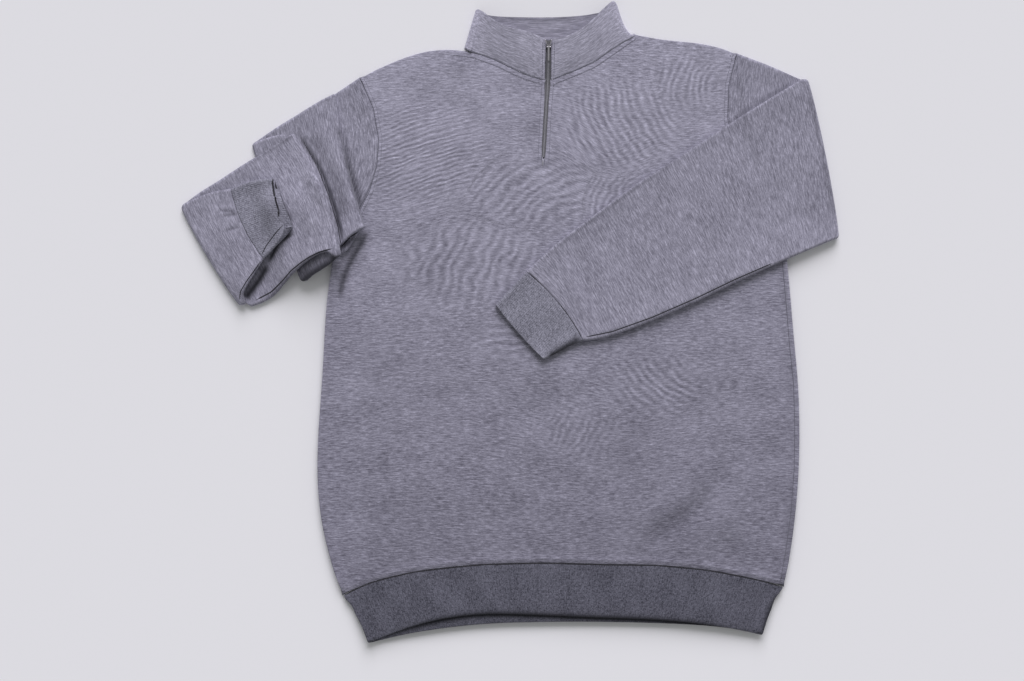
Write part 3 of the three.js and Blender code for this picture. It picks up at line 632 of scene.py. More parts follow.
def crease(x, y, path, width, depth, run_out=0.3):
    """Height of a soft trough (depth below 0) or ridge along a path, run out at both its ends."""
    line = curve_through(path, CREASE_POINTS) if len(path) < MANY else evenly(path, 15)
    last = len(line) - 1
    best = np.full(len(x), 1e9)
    along = np.zeros(len(x))
    for i in range(last):
        (ax, ay), (bx, by) = line[i], line[i + 1]
        dx, dy = bx - ax, by - ay
        t = np.clip(((x - ax) * dx + (y - ay) * dy) / (dx * dx + dy * dy), 0, 1)
        away = np.hypot(x - ax - t * dx, y - ay - t * dy)
        nearer = away < best
        best = np.where(nearer, away, best)
        along = np.where(nearer, (i + t) / last, along)
    ends = smooth(np.minimum(along, 1 - along) / run_out + 0.15)
    return depth * ends * np.exp(-((best / width) ** 2))


FRONT_CREASES = rows_of(
    CREASE,
    (12, -3.0, [(201, 223), (197, 174), (178, 146), (133, 112), (99, 87)]),
    (15, 1.6, [(226, 215), (224, 165), (205, 124), (165, 92)]),
    (16, 1.5, [(174, 212), (166, 172), (141, 143), (92, 124)]),
    (19, -1.7, [(99, 186), (50, 165), (8, 140)]),
    (11, -1.6, [(208, 108), (201, 74)]),
    (16, -1.3, [(-20, 210), (-48, 160), (-64, 98)]),
    (15, 1.2, [(10, 170), (-22, 118), (-30, 84)]),
    (8, -2.8, [(-238, 480), (-254, 446), (-272, 408), (-277, 375)]),
    (15, -1.1, [(-252, 500), (-205, 452), (-172, 395)]),
    (17, -1.0, [(-236, 545), (-160, 520), (-92, 470)]),
    (18, -1.6, [(-200, 640), (-150, 645), (-95, 622)]),
    (22, -1.2, [(-170, 300), (-80, 262), (0, 268)]),
    (20, 1.0, [(-90, 360), (-30, 318), (60, 296)]),
    (13, -1.1, [(60, 640), (92, 600), (100, 555)]),
    (14, -1.0, [(20, 560), (60, 520), (80, 470)]),
    (14, -1.0, [(-35, 566), (-60, 520), (-62, 470)]),
    (16, -1.2, [(110, 668), (160, 640), (190, 600)]),
    (20, -1.0, [(218, 300), (190, 262), (140, 240)]),
    (12, -1.2, [(262, 230), (256, 160), (262, 90)]),
    (13, -1.2, [(-268, 250), (-272, 180), (-262, 110)]),
    (24, 0.9, [(-200, 190), (-120, 150), (-60, 150)]),
)
BACK_CREASES = rows_of(
    CREASE,
    (14, 0.5, [(-190, 210), (-170, 160), (-110, 105)]),
    (16, 0.5, [(120, 420), (60, 360), (40, 280)]),
)
RIGHT_SLEEVE_CREASES = rows_of(
    CREASE,
    (9, -1.6, [(-292, 600), (-278, 560), (-268, 520)]),
    (9, 1.2, [(-310, 600), (-296, 560), (-284, 505)]),
    (11, -1.5, [(-340, 585), (-318, 540), (-300, 490)]),
    (12, -1.2, [(-395, 550), (-372, 505), (-350, 455)]),
    (12, 1.0, [(-372, 560), (-344, 505), (-322, 460)]),
    (12, -1.2, [(-255, 640), (-246, 600), (-250, 545)]),
    (11, -1.4, [(-455, 505), (-430, 465), (-402, 420)]),
    (9, 1.0, [(-438, 518), (-412, 490), (-398, 455)]),
    (8, -0.9, [(-425, 500), (-400, 478), (-392, 440)]),
)
LEFT_SLEEVE_CREASES = rows_of(
    CREASE,
    (18, -1.2, [(300, 640), (255, 590), (235, 540)]),
    (20, -1.3, [(318, 560), (262, 515), (225, 462)]),
    (18, 1.1, [(215, 585), (190, 525), (185, 465)]),
    (17, -1.1, [(140, 545), (130, 490), (148, 430)]),
    (13, -1.1, [(85, 510), (62, 465), (70, 410)]),
    (8, -1.2, [(20, 465), (28, 430), (48, 385)]),
    (7, 0.9, [(5, 452), (12, 420), (36, 372)]),
    (12, -1.4, [(325, 500), (290, 500), (262, 480)]),
)
RIPPLES = rows_of(
    "middle reach pitch turn height",
    ((-185, 545), (95, 60), 12, 20, 0.25),
    ((-100, 455), (85, 70), 13.5, 60, 0.34),
    ((95, 560), (70, 60), 12, -58, 0.26),
    ((40, 470), (60, 50), 13, -75, 0.26),
    ((60, 240), (90, 60), 14, 72, 0.28),
    ((-120, 250), (110, 70), 17, 8, 0.2),
    ((160, 640), (70, 45), 12, -12, 0.22),
)


def ripples(x, y):
    """Rows of shallow waves in the knit, each in its own patch."""
    height = np.zeros(len(x))
    for row in RIPPLES:
        dx, dy = x - row["middle"][0], y - row["middle"][1]
        turn = math.radians(row["turn"])
        across = dy * math.cos(turn) - dx * math.sin(turn)
        along = dx * math.cos(turn) + dy * math.sin(turn)
        patch = np.exp(-((dx / row["reach"][0]) ** 2) - (dy / row["reach"][1]) ** 2)
        bend = 3.0 * np.sin(along / 31.0) + 2.0 * np.sin(along / 13.0 + across / 40.0)
        height += row["height"] * patch * np.sin(2 * math.pi * (across + bend) / row["pitch"])
    return height


TOP_LIP = [  # the lower edge of the right sleeve's top layer
    (-375, 395), (-356, 405), (-341, 419), (-330, 431),
    (-318, 440), (-307, 447), (-294, 453), (-279, 457),
]
# Where layers press together, under lifted edges and along rims that catch the light: narrow dips, and
# painted shade, how much darker the colour is made there.
RIGHT_SLEEVE_CREVICES = rows_of(
    CREVICE,
    (3.4, 0.45, 0.0, TOP_LIP),
    (2.4, 0.82, 0.32, [(-325, 602), (-315, 588), (-296, 556), (-283, 523), (-273, 488), (-269, 464)]),
    (8, 0.34, 0.10, [(-312, 604), (-299, 585), (-284, 555), (-272, 520), (-263, 487)]),
    (5, 0.32, 0.22, [(-281, 618), (-267, 583), (-255, 541), (-243, 504), (-236, 486)]),
    (2.6, 0.5, 0.15, [(-268, 583), (-256, 541), (-244, 504), (-236, 484)]),
    (2.6, 0.6, 0.0, [(-272, 461), (-262, 467), (-250, 475), (-240, 482)]),
    (6.5, 0.93, 0.0, [(-342, 404), (-323, 417), (-308, 428), (-295, 436), (-277, 445), (-264, 452)]),
    (5, 0.98, 0.15, [(-391, 398), (-384, 407), (-371, 425), (-361, 443)]),
    (2.8, 0.96, 0.1, [(-363, 440), (-354, 456), (-348, 468), (-339, 474), (-328, 478)]),
    (2.6, 0.5, 0.0, [(-351, 543), (-349, 530), (-344, 518), (-337, 505), (-330, 490)]),
    (3, 0.26, 0.0, [(-377, 572), (-353, 587), (-330, 602)]),
    (2.6, 0.22, 0.0, [(-466, 519), (-437, 529), (-408, 536)]),
    (2.0, 0.35, 0.1, [(-424, 508), (-402, 506)]),
    (2.0, 0.35, 0.1, [(-420, 500), (-399, 503)]),
    (2.0, 0.3, 0.1, [(-415, 482), (-396, 487)]),
)
# Painted shade along the left sleeve's lower lip, its fold and its rims that face the light.
LEFT_SLEEVE_CREVICES = rows_of(
    CREVICE,
    (2.2, 0.4, 0.0, [(35, 352), (64, 358), (113, 375), (166, 398), (216, 422), (262, 442)]),
    (5, 0.16, 0.0, [(222, 690), (226, 640), (236, 590), (252, 560)]),
    (3, 0.3, 0.0, [(-36, 438), (94, 536), (226, 628), (302, 674)]),
    (3.5, 0.32, 0.0, [(305, 673), (325, 580), (342, 491)]),
)
# Painted shade on the front: under the right sleeve's pleat, in broad soft folds and along its sides.
FRONT_CREVICES = rows_of(
    CREVICE,
    (4, 0.74, 0.2, [(-236, 486), (-250, 462), (-262, 440), (-270, 418), (-274, 396)]),
    (19, 0.14, 0.0, [(86, 84), (122, 110), (158, 138), (196, 162)]),
    (12, 0.16, 0.0, [(196, 68), (212, 92), (222, 118)]),
    (13, 0.08, 0.0, [(140, 62), (176, 80)]),
    (7, 0.2, 0.0, [(-32, 620), (-31, 600)]),
    (14, 0.15, 0.0, [(-142, 675), (-112, 680)]),
    (15, 0.15, 0.0, [(112, 652), (140, 644), (166, 648)]),
    (12, 0.14, 0.0, [(165, 697), (190, 689)]),
    (9, 0.26, 0.0, [(291, 152), (288, 112), (283, 70)]),
    (6, 0.18, 0.0, [(-300, 142), (-295, 104), (-287, 68)]),
)
# Painted shade along the left cuff's lower edge.
LEFT_CUFF_CREVICES = rows_of(
    CREVICE,
    (5, 0.85, 0.0, [(-17, 325), (5, 338), (27, 351)]),
)


def store(obj, name, columns):
    """Keeps one or two numbers for each point of a piece, for the materials."""
    count = len(obj.data.vertices)
    columns = np.reshape(columns, (count, -1))
    values = np.zeros((count, 3), np.float32)
    values[:, :columns.shape[1]] = columns
    layer = obj.data.attributes.new(name, "FLOAT_VECTOR", "POINT")
    layer.data.foreach_set("vector", values.ravel())


def shade_and_press(obj, crevices):
    """Presses the crevices in, and keeps each point's painted shade for the materials."""
    points = points_of(obj)
    x, y = pattern(points)
    light = np.ones(len(x))
    for row in crevices:
        share = crease(x, y, row["path"], row["width"], 1.0, 0.2)
        light *= 1 - row["dark"] * share
        points[:, 2] *= 1 - row["press"] * share
    put_points(obj, points)
    store(obj, "shade", 1 - light)


FACING_UP = 0.3  # a normal's share upwards from which a place counts as facing up
OFF_CLOTH = 0.2 * MM  # how far off the cloth a ray starts


def open_above(obj, trees):
    """Which points of a piece face up with nothing lying over them."""
    normals = np.empty(len(obj.data.vertices) * 3)
    obj.data.vertices.foreach_get("normal", normals)
    found = normals.reshape(-1, 3)[:, 2] > FACING_UP
    points = points_of(obj)
    for i in np.flatnonzero(found):
        start = Vector(points[i]) - DOWN * OFF_CLOTH
        found[i] = all(tree.ray_cast(start, -DOWN)[0] is None for tree in trees)
    return found


def uncovered(points, trees):
    """Which places have no sleeve or cuff over them."""
    starts = [Vector((x, y, ABOVE_ALL * MM)) for x, y, _ in points]
    return np.array([all(tree.ray_cast(start, DOWN)[0] is None for tree in trees) for start in starts])


def creased(obj, creases, crevices, trees):
    """Presses the creases into the parts of a sleeve that lie on top."""
    points = points_of(obj)
    x, y = pattern(points)
    height = sum(crease(x, y, **row) for row in creases)
    points[:, 2] += np.where(open_above(obj, trees), height, 0) * MM
    put_points(obj, points)
    shade_and_press(obj, crevices)


# --- The zip's line ---------------------------------------------------------------------------------

ZIP_LINE = [  # height up the zip, its x, and the height of the tape's face
    (573, -20.8, 5.7),
    (620, -18.0, 5.7),
    (664, -15.2, 5.8),
    (672, -15.0, 6.9),
    (690, -14.7, 12.4),
    (705, -14.5, 17.0),
    (717, -14.3, 20.6),
]


def zip_at(y):
    rows = np.array(ZIP_LINE)
    return np.interp(y, rows[:, 0], rows[:, 1]), np.interp(y, rows[:, 0], rows[:, 2])


LIP = {"reach": 12, "from": 562, "to": 676, "run_out": 8, "shift": 1.6, "rise": 0.9}


def with_lips(points):
    """Draws the cut's edges a little over the zip."""
    x, y = pattern(points)
    middle, _ = zip_at(y)
    away = x - middle
    near = smooth(1 - np.abs(away) / LIP["reach"])
    near *= smooth((y - LIP["from"]) / LIP["run_out"]) * smooth((LIP["to"] - y) / LIP["run_out"])
    moved = points.copy()
    moved[:, 0] -= np.sign(away) * np.minimum(np.abs(away), LIP["shift"] * near) * MM
    moved[:, 2] += LIP["rise"] * near * MM
    return moved


FULL_ROOM = 2.4  # how far the front can sink before it meets the back
SIDE_ROLL = {"front": 4.6, "back": 3.6}  # how far the side seams stand up, and with them each panel's edge
ROLL_WIDE = 8


def roll_sides(obj, height):
    """Rounds a panel's edges up at the side seams."""
    points = points_of(obj)
    x, y = pattern(points)
    rise = sum(crease(x, y, side, ROLL_WIDE, height, EVEN) for side in (SIDE_RIGHT, SIDE_LEFT))
    points[:, 2] += rise * MM
    put_points(obj, points)


HEM_SIDES = ([(-270, 30), (-254, 0), (-238, -29)], [(278, 41), (265, 10), (251, -19)])
HEM_WIDE = 62
HEM_MIDDLE, HEM_HALF = 4, 268  # x of its middle, and half its width below the seam
HEM_LIFT = {"front": 7.6, "back": 6.5}  # how far each layer of the hem stands up at its lower edge
HEM_ENDS = {"share": 0.5, "at": 285, "reach": 120}  # and the share of that at its two ends
HEM_LAYER = {"from": 1.8, "over": 0.8}  # heights that part its back layer from its front one
HEM_TUCK = 1.0  # how far its upper edge is drawn up to the panels
HEM_RIDGE = {"off": 5, "wide": 3.5, "high": 0.9}  # the ridge of fleece along the hem's seam
ARMHOLE_RIDGE = {"off": 2.8, "wide": 1.9, "high": 0.8}  # the band beside the armhole seams
# Painted shade along the hem's rounded side edges.
HEM_CREVICES = rows_of(
    CREVICE,
    (4.5, 0.55, 0.0, [(-270, 24), (-256, -2), (-240, -29)]),
    (4.5, 0.85, 0.0, [(273, 34), (260, 12), (250, -19)]),
)
HEM_PINCH = {"by": 2.4, "below": 17, "tall": 10, "reach": 45}  # how its sides draw in under the seam
HEM_EDGE = {"width": 4.0, "dark": 0.92, "press": 0.0}  # painted shadow along the front layer's lower edge, over the back one
HEM_EDGE_X = np.arange(-222, 243, 12)


def shape_hem(obj):
    points = points_of(obj)
    x, y = pattern(points)
    seam = HEM_SEAM[np.argsort(HEM_SEAM[:, 0])]
    below = np.interp(x, seam[:, 0], seam[:, 1]) - y
    on_top = smooth((points[:, 2] / MM - HEM_LAYER["from"]) / HEM_LAYER["over"])
    inside = smooth((HEM_ENDS["at"] - np.abs(x)) / HEM_ENDS["reach"])
    lift = HEM_LIFT["back"] + (HEM_LIFT["front"] - HEM_LIFT["back"]) * on_top
    lift *= HEM_ENDS["share"] + (1 - HEM_ENDS["share"]) * inside
    roll = SIDE_ROLL["back"] + (SIDE_ROLL["front"] - SIDE_ROLL["back"]) * on_top
    points[:, 1] += HEM_TUCK * smooth(1 - below / 8) * MM
    points[:, 2] += smooth(below / HEM_WIDE) * lift * MM
    points[:, 2] += sum(crease(x, y, side, ROLL_WIDE, 1.0, EVEN) for side in HEM_SIDES) * roll * MM
    near_side = smooth((np.abs(x - HEM_MIDDLE) - (HEM_HALF - HEM_PINCH["reach"])) / HEM_PINCH["reach"])
    pinch = HEM_PINCH["by"] * np.exp(-(((below - HEM_PINCH["below"]) / HEM_PINCH["tall"]) ** 2))
    points[:, 0] -= np.sign(x - HEM_MIDDLE) * pinch * near_side * MM
    put_points(obj, points)
    edge = [(place, y[(on_top > 0.5) & (np.abs(x - place) < 8)].min()) for place in HEM_EDGE_X]
    shade_and_press(obj, [*HEM_CREVICES, {"path": edge, **HEM_EDGE}])


# Where the creases fade out towards the front's sides and bottom, and over how far.
FRONT_CALM = {"right": -300, "left": 296, "by_side": 26, "bottom": 62, "by_bottom": 24}
BACK_TOP, OPEN_RISE = 2, 4  # the back's upper face, and the front's rise above it at which it has full room


def shape_front(obj, trees):
    points = points_of(obj)
    x, y = pattern(points)
    height = sum(crease(x, y, **row) for row in FRONT_CREASES) + ripples(x, y)
    from_side = np.minimum(x - FRONT_CALM["right"], FRONT_CALM["left"] - x)
    edge = smooth(from_side / FRONT_CALM["by_side"])
    edge *= smooth((y - FRONT_CALM["bottom"]) / FRONT_CALM["by_bottom"])
    height = np.maximum(height * edge, -FULL_ROOM * smooth((points[:, 2] / MM - BACK_TOP) / OPEN_RISE))
    height = np.where(uncovered(points, trees), height, np.minimum(height, 0))
    points[:, 2] += height * MM
    for seam, side, ridge in (
        (HEM_SEAM, 1, HEM_RIDGE),
        (ARMHOLE_RIGHT, 1, ARMHOLE_RIDGE),
        (ARMHOLE_LEFT, -1, ARMHOLE_RIDGE),
    ):
        line = beside(seam, side * ridge["off"])
        points[:, 2] += crease(x, y, line, ridge["wide"], ridge["high"], EVEN) * MM
    put_points(obj, with_lips(points))
    shade_and_press(obj, FRONT_CREVICES)
    roll_sides(obj, SIDE_ROLL["front"])


def shape_back(obj):
    points = points_of(obj)
    x, y = pattern(points)
    points[:, 2] += sum(crease(x, y, **row) for row in BACK_CREASES) * MM
    put_points(obj, points)
    roll_sides(obj, SIDE_ROLL["back"])


# --- Runs of the knit -------------------------------------------------------------------------------

GRAIN_HILLS = [  # middle, reach and height of each place where the rows of the knit swell
    (-60, 585, 110, 70, -20),
    (-215, 520, 70, 90, 12),
    (62, 575, 48, 60, 30),
    (150, 640, 80, 50, 12),
    (-90, 430, 90, 60, -12),
    (80, 250, 90, 60, 14),
    (-150, 240, 120, 70, -9),
    (10, 120, 160, 60, 8),
]
# Broken lines of the knit: middle and reach of a patch, centre of its arcs, pitch, strength.
WAVES = rows_of(
    "middle reach centre pitch strength",
    ((-175, 575), (115, 85), (0, 60), 5.4, 0.8),
    ((75, 612), (85, 62), (212, 676), 9.3, 1.0),
    ((160, 668), (55, 42), (215, 655), 8.5, 0.8),
    ((-35, 530), (98, 54), (60, 400), 11.5, 0.9),
    ((-110, 445), (104, 62), (190, 330), 13.0, 0.9),
    ((60, 520), (45, 40), (190, 470), 8.0, 0.9),
    ((-60, 350), (70, 40), (-30, 60), 11.0, 0.7),
    ((120, 290), (90, 55), (230, 420), 9.5, 0.7),
    ((20, 230), (80, 50), (-160, 330), 9.0, 0.6),
    ((-210, 320), (70, 70), (-120, -400), 7.0, 0.5),
    ((190, 160), (60, 70), (60, 300), 10.0, 0.4),
)


def runs_on_body(x, y):
    """Along a row of the knit, and from row to row."""
    row = y.copy()
    for cx, cy, rx, ry, height in GRAIN_HILLS:
        row += height * np.exp(-(((x - cx) / rx) ** 2) - ((y - cy) / ry) ** 2)
    return np.column_stack([x, row])


def waves_on_body(x, y):
    """Turns and strength of the broken lines, from the patch that is strongest at each place."""
    turns, strength = np.zeros(len(x)), np.zeros(len(x))
    for row in WAVES:
        dx, dy = x - row["middle"][0], y - row["middle"][1]
        patch = np.exp(-((dx / row["reach"][0]) ** 2) - (dy / row["reach"][1]) ** 2) * row["strength"]
        here = patch > strength
        away = np.hypot(x - row["centre"][0], y - row["centre"][1])
        turns = np.where(here, away / row["pitch"], turns)
        strength = np.where(here, patch, strength)
    return np.column_stack([turns, smooth((strength - 0.22) / 0.5)])


def runs_on_hem(x, y):
    return np.column_stack([y, x - (y - 30) * x / 550])


# --- Materials ------------------------------------------------------------------------------------

# Painted shade: the near-black that the shade attribute mixes into the cloth's colour.
PAINTED_SHADE_COLOUR = (0.016, 0.016, 0.022)


class Nodes:
    """Short calls for a material's node tree."""

    def __init__(self, name):
        self.material = bpy.data.materials.new(name)
        self.material.use_nodes = True
        self.tree = self.material.node_tree
        self.shader = self.tree.nodes["Principled BSDF"]

    def add(self, kind, inputs=(), **settings):
        node = self.tree.nodes.new(kind)
        for key, value in settings.items():
            setattr(node, key, value)
        for key, value in dict(inputs).items():
            if isinstance(value, bpy.types.NodeSocket):
                self.tree.links.new(value, node.inputs[key])
            else:
                node.inputs[key].default_value = value
        return node

    def math(self, operation, a, b=0.0):
        return self.add("ShaderNodeMath", {0: a, 1: b}, operation=operation).outputs[0]

    def times(self, a, b):
        return self.math("MULTIPLY", a, b)

    def sum(self, *terms):
        total = terms[0]
        for term in terms[1:]:
            total = self.math("ADD", total, term)
        return total

    def swing(self, value, size):
        """A value from 0 to 1 as one from -size/2 to size/2."""
        return self.times(self.math("SUBTRACT", value, 0.5), size)

    def vector(self, name):
        return self.add("ShaderNodeAttribute", attribute_name=name).outputs["Vector"]

    def part(self, vector, axis):
        return self.add("ShaderNodeSeparateXYZ", {0: vector}).outputs[axis]

    def noise(self, vector, scale, detail=2.0, rough=0.55):
        sized = self.add("ShaderNodeVectorMath", {0: vector, 1: scale}, operation="MULTIPLY").outputs[0]
        settings = {"Vector": sized, "Scale": 1.0, "Detail": detail, "Roughness": rough}
        return self.add("ShaderNodeTexNoise", settings).outputs["Fac"]

    def blend(self, share, dark, light):
        settings = {"Factor": share, "A": (*dark, 1), "B": (*light, 1)}
        return self.add("ShaderNodeMix", settings, data_type="RGBA").outputs["Result"]

    def shaded(self, colour):
        """The colour with painted shade: mixed towards a near-black where the shade attribute says, down in
        crevices, under edges and along lit rims.
        """
        settings = {"Factor": self.part(self.vector("shade"), "X"), "A": colour, "B": (*PAINTED_SHADE_COLOUR, 1)}
        return self.add("ShaderNodeMix", settings, data_type="RGBA").outputs["Result"]

    def bump(self, height, strength, distance):
        settings = {"Height": height, "Strength": strength, "Distance": distance * MM}
        return self.add("ShaderNodeBump", settings).outputs["Normal"]

    def set(self, **values):
        for key, value in values.items():
            socket = self.shader.inputs[key.replace("_", " ")]
            if isinstance(value, bpy.types.NodeSocket):
                self.tree.links.new(value, socket)
            else:
                socket.default_value = value


def per(length, width):
    """Texture scale for features of a length and width in millimetres."""
    return (1 / (length * MM), 1 / (width * MM), 1 / (length * MM))


FADE = {"from": 0.26, "to": -0.34, "calm": 0.28}  # painted shade: heights between which the body's colour darkens towards its lower part, standing in for light that falls off there, and its softening


def heather(name, dark, light, dash=(8.5, 1.5), contrast=1.0, fade=0.0, waves=False):
    """Brushed heather fleece: short dashes along the knit, a soft nap and faint broken lines."""
    n = Nodes(name)
    grain = n.vector("grain")
    dashes = n.noise(grain, per(*dash), detail=2, rough=0.6)
    fleck = n.noise(grain, per(16, 2.6), detail=1, rough=0.5)
    fibre = n.noise(grain, per(2.8, 0.9), detail=2, rough=0.7)
    cloud = n.noise(grain, per(60, 34), detail=2)
    parts = [n.swing(dashes, 2.5 * contrast), n.swing(fleck, 0.9 * contrast), n.swing(fibre, 1.5 * contrast)]
    height = n.sum(n.times(dashes, 0.7), n.times(fibre, 0.6))
    tone = n.sum(*parts)
    if waves:
        lines = n.vector("waves")
        here = n.part(lines, "Y")
        wander = n.noise(grain, per(34, 26), detail=1)
        broken = n.noise(grain, per(13, 8), detail=2)
        phase = n.times(n.sum(n.part(lines, "X"), n.times(wander, 1.7)), 2 * math.pi)
        share = n.times(here, n.math("SUBTRACT", n.times(broken, 3.4), 0.9))
        wave = n.times(n.math("SINE", phase), share)
        calm = n.math("SUBTRACT", 1.0, n.times(here, 0.25))
        tone = n.sum(n.times(tone, calm), n.times(wave, 0.115))
        height = n.sum(height, n.times(wave, 0.6))
    tone = n.sum(tone, n.times(n.times(tone, tone), 0.9))
    # Painted shade: the colour darkens towards the body's lower part, in place of light that falls off down
    # the garment.
    if fade:
        up = n.part(n.add("ShaderNodeTexCoord").outputs["Object"], "Y")
        span = {"Value": up, "From Min": FADE["from"], "From Max": FADE["to"], "To Min": 0.0, "To Max": 1.0}
        lower = n.add("ShaderNodeMapRange", span).outputs["Result"]
        tone = n.times(tone, n.math("SUBTRACT", 1.0, n.times(lower, FADE["calm"])))
        tone = n.math("SUBTRACT", tone, n.times(lower, fade))
    tone = n.sum(tone, n.swing(cloud, 0.25), 0.5)
    n.set(Base_Color=n.shaded(n.blend(tone, dark, light)), Roughness=0.96, Normal=n.bump(height, 0.6, 0.5))
    n.set(Sheen_Weight=0.22, Sheen_Roughness=0.55, Specular_IOR_Level=0.18)
    n.set(Sheen_Tint=(0.86, 0.85, 0.95, 1))
    return n.material


def rib_knit(name, dark, light, pitch, speckle, ribs):
    """Rib knit: ridges across the grain, broken into stitches, with a salt-and-pepper heather."""
    n = Nodes(name)
    grain = n.vector("grain")
    wander = n.noise(grain, per(40, 26), detail=1)
    phase = n.sum(n.times(n.part(grain, "Y"), 2 * math.pi / (pitch * MM)), n.times(wander, 3.0))
    ridge = n.math("SINE", phase)
    stitch = n.math("SINE", n.times(n.part(grain, "X"), 2 * math.pi / (1.6 * MM)))
    knit = n.times(n.sum(stitch, 1.0), n.sum(ridge, 1.0))
    pepper = n.noise(grain, per(1.7, 1.5), detail=1, rough=0.6)
    slub = n.noise(grain, per(3.4, 4.2), detail=2, rough=0.6)
    cloud = n.noise(grain, per(46, 34), detail=2)
    speckles = n.sum(n.swing(pepper, speckle), n.swing(slub, 1.2), n.swing(cloud, 0.7))
    tone = n.sum(speckles, n.times(ridge, ribs), 0.5)
    height = n.sum(n.times(ridge, 0.16), n.times(knit, 0.12), n.times(pepper, 0.55))
    n.set(Base_Color=n.shaded(n.blend(tone, dark, light)), Roughness=0.95, Normal=n.bump(height, 0.6, 0.45))
    n.set(Sheen_Weight=0.12, Sheen_Roughness=0.5, Specular_IOR_Level=0.2)
    return n.material


def plain(name, colour, rough, metal=0.0):
    """Metal, moulded or thread: a fine wear of tone and gloss."""
    n = Nodes(name)
    place = n.add("ShaderNodeTexCoord").outputs["Object"]
    wear = n.noise(place, (900, 900, 900), detail=3, rough=0.6)
    gloss = n.add("ShaderNodeMapRange", {"Value": wear, "To Min": rough - 0.08, "To Max": rough + 0.1})
    worn = [c * 0.8 for c in colour]
    n.set(Base_Color=n.blend(wear, worn, colour), Roughness=gloss.outputs["Result"], Metallic=metal)
    return n.material


def woven(name, colour):
    """Zip tape: fine diagonal weave."""
    n = Nodes(name)
    place = n.add("ShaderNodeTexCoord").outputs["Object"]
    settings = {"Vector": place, "Scale": 420.0, "Distortion": 1.0}
    weave = n.add("ShaderNodeTexWave", settings, bands_direction="DIAGONAL").outputs["Fac"]
    n.set(Base_Color=n.blend(weave, [c * 0.7 for c in colour], colour), Roughness=0.85)
    n.set(Normal=n.bump(weave, 0.4, 0.2))
    return n.material


FLEECE = heather("fleece", (0.010, 0.007, 0.020), (0.590, 0.571, 0.724), contrast=0.41, fade=0.19, waves=True)
FLEECE_SLEEVE = heather("fleece_sleeve", (0.022, 0.020, 0.036), (0.502, 0.485, 0.614), (10, 1.25), 0.47)
# Painted light: the collar's fleece is lighter than the body's, so that its face, which slopes away from the
# lamp, looks as bright as the chest.
FLEECE_COLLAR = heather("fleece_collar", (0.030, 0.028, 0.046), (0.815, 0.785, 0.988), contrast=0.38)
RIB_HEM = rib_knit("rib_hem", (0.027, 0.027, 0.039), (0.148, 0.146, 0.190), 3.1, 1.65, 0.04)
RIB_CUFF = rib_knit("rib_cuff", (0.098, 0.096, 0.125), (0.340, 0.334, 0.420), 2.4, 1.6, 0.07)
TAPE = woven("zip_tape", (0.19, 0.185, 0.212))
COIL = plain("zip_coil", (0.31, 0.303, 0.345), 0.5)
SLIDER = plain("slider", (0.34, 0.33, 0.37), 0.42, 1.0)
NICKEL = plain("zip_metal", (0.66, 0.63, 0.70), 0.3, 1.0)
THREAD = plain("thread", (0.20, 0.195, 0.25), 0.9)
# Painted shade: a dark colour for lines in the seams' recesses.
SEAM_SHADE = plain("seam", (0.15, 0.146, 0.188), 0.95)
# Painted shadow: a near-black for lines where edges overhang and for the gap under the slider.
PAINTED_SHADOW = plain("painted_shadow", (0.022, 0.021, 0.028), 0.95)


def finish_piece(obj, material, nodes=(), body="garment"):
    obj.data.materials.clear()
    obj.data.materials.append(material)
    for polygon in obj.data.polygons:
        polygon.use_smooth = True
    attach(obj, body)
    if nodes:
        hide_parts(*nodes)


# --- Collar -----------------------------------------------------------------------------------------

COLLAR = [  # base and top of the outer face, from the right zip edge round the back to the left one
    (-19, 670.4, 7.4, -18.4, 718, 22),
    (-29, 673.5, 7.4, -30, 723, 23),
    (-40, 676.8, 7.4, -43, 728, 23.5),
    (-62, 686.9, 7.3, -67, 734, 23),
    (-86, 698.8, 7.1, -85, 744, 21),
    (-103, 704.3, 6.8, -95, 752, 17.5),
    (-114, 707.9, 6.3, -101, 756, 13.5),
    (-118.8, 708.4, 3.3, -104.5, 756, 7.5),
    (-116.5, 707.6, 0.7, -102.5, 755, 1.6),
    (-108, 703.8, 0, -96, 753, 0),
    (-85, 697.3, 0, -84, 750, 0),
    (-60, 693.6, 0, -60, 748.5, 0),
    (-16, 691.6, 0, -16, 748, 0),
    (28, 696.6, 0, 25, 750, 0),
    (64, 709, 0, 55, 755, 0),
    (79, 720.6, 0, 64.5, 756.5, 0),
    (88, 726.3, 0.8, 69, 757.5, 1.6),
    (93, 724.8, 3.6, 71, 758.5, 8),
    (90.8, 722.9, 5.4, 69.8, 762.5, 14),
    (81, 719.6, 7, 65, 765.5, 17.5),
    (63, 708.2, 7.1, 55, 757, 20.5),
    (43, 694.1, 7.3, 42, 744, 23),
    (19, 682.7, 7.4, 28, 732, 23.5),
    (3, 676.6, 7.4, 10, 722.5, 23),
    (-11, 670.4, 7.4, -10.4, 718, 22),
]
COLLAR_WALL = 2.4
COLLAR_CORNERS = (-118, 92)  # x of its bends at the two shoulders
CORNER_THIN, CORNER_WIDE = 0.65, 9  # how much of the wall is pressed away in the bends, and how far along
INWARD_ROUNDS = 12  # smoothing of the directions across the wall
COLLAR_LAP = 2.0  # how far its base covers the panel's edge
COLLAR_COLUMNS = 260
COLLAR_RISE = 22  # points up each side of the collar's wall
COLLAR_FOLD = 5  # points over its folded top edge
COLLAR_BULGE = 0.8  # how far its middle stands out from a straight line
COLLAR_STEP, INSIDE_STEP = 0.12, 0.05  # how far the two faces of its base stand above the panel
COLLAR_HOLLOW, HOLLOW_WIDE = 5.2, 11  # how far it is drawn in above its base at the left shoulder
HOLLOW_WAY = np.array([-0.82, -0.57, 0])  # and which way
COLLAR_LYING = 2.5  # its base lies on the front panel from this height on, and on the back below it
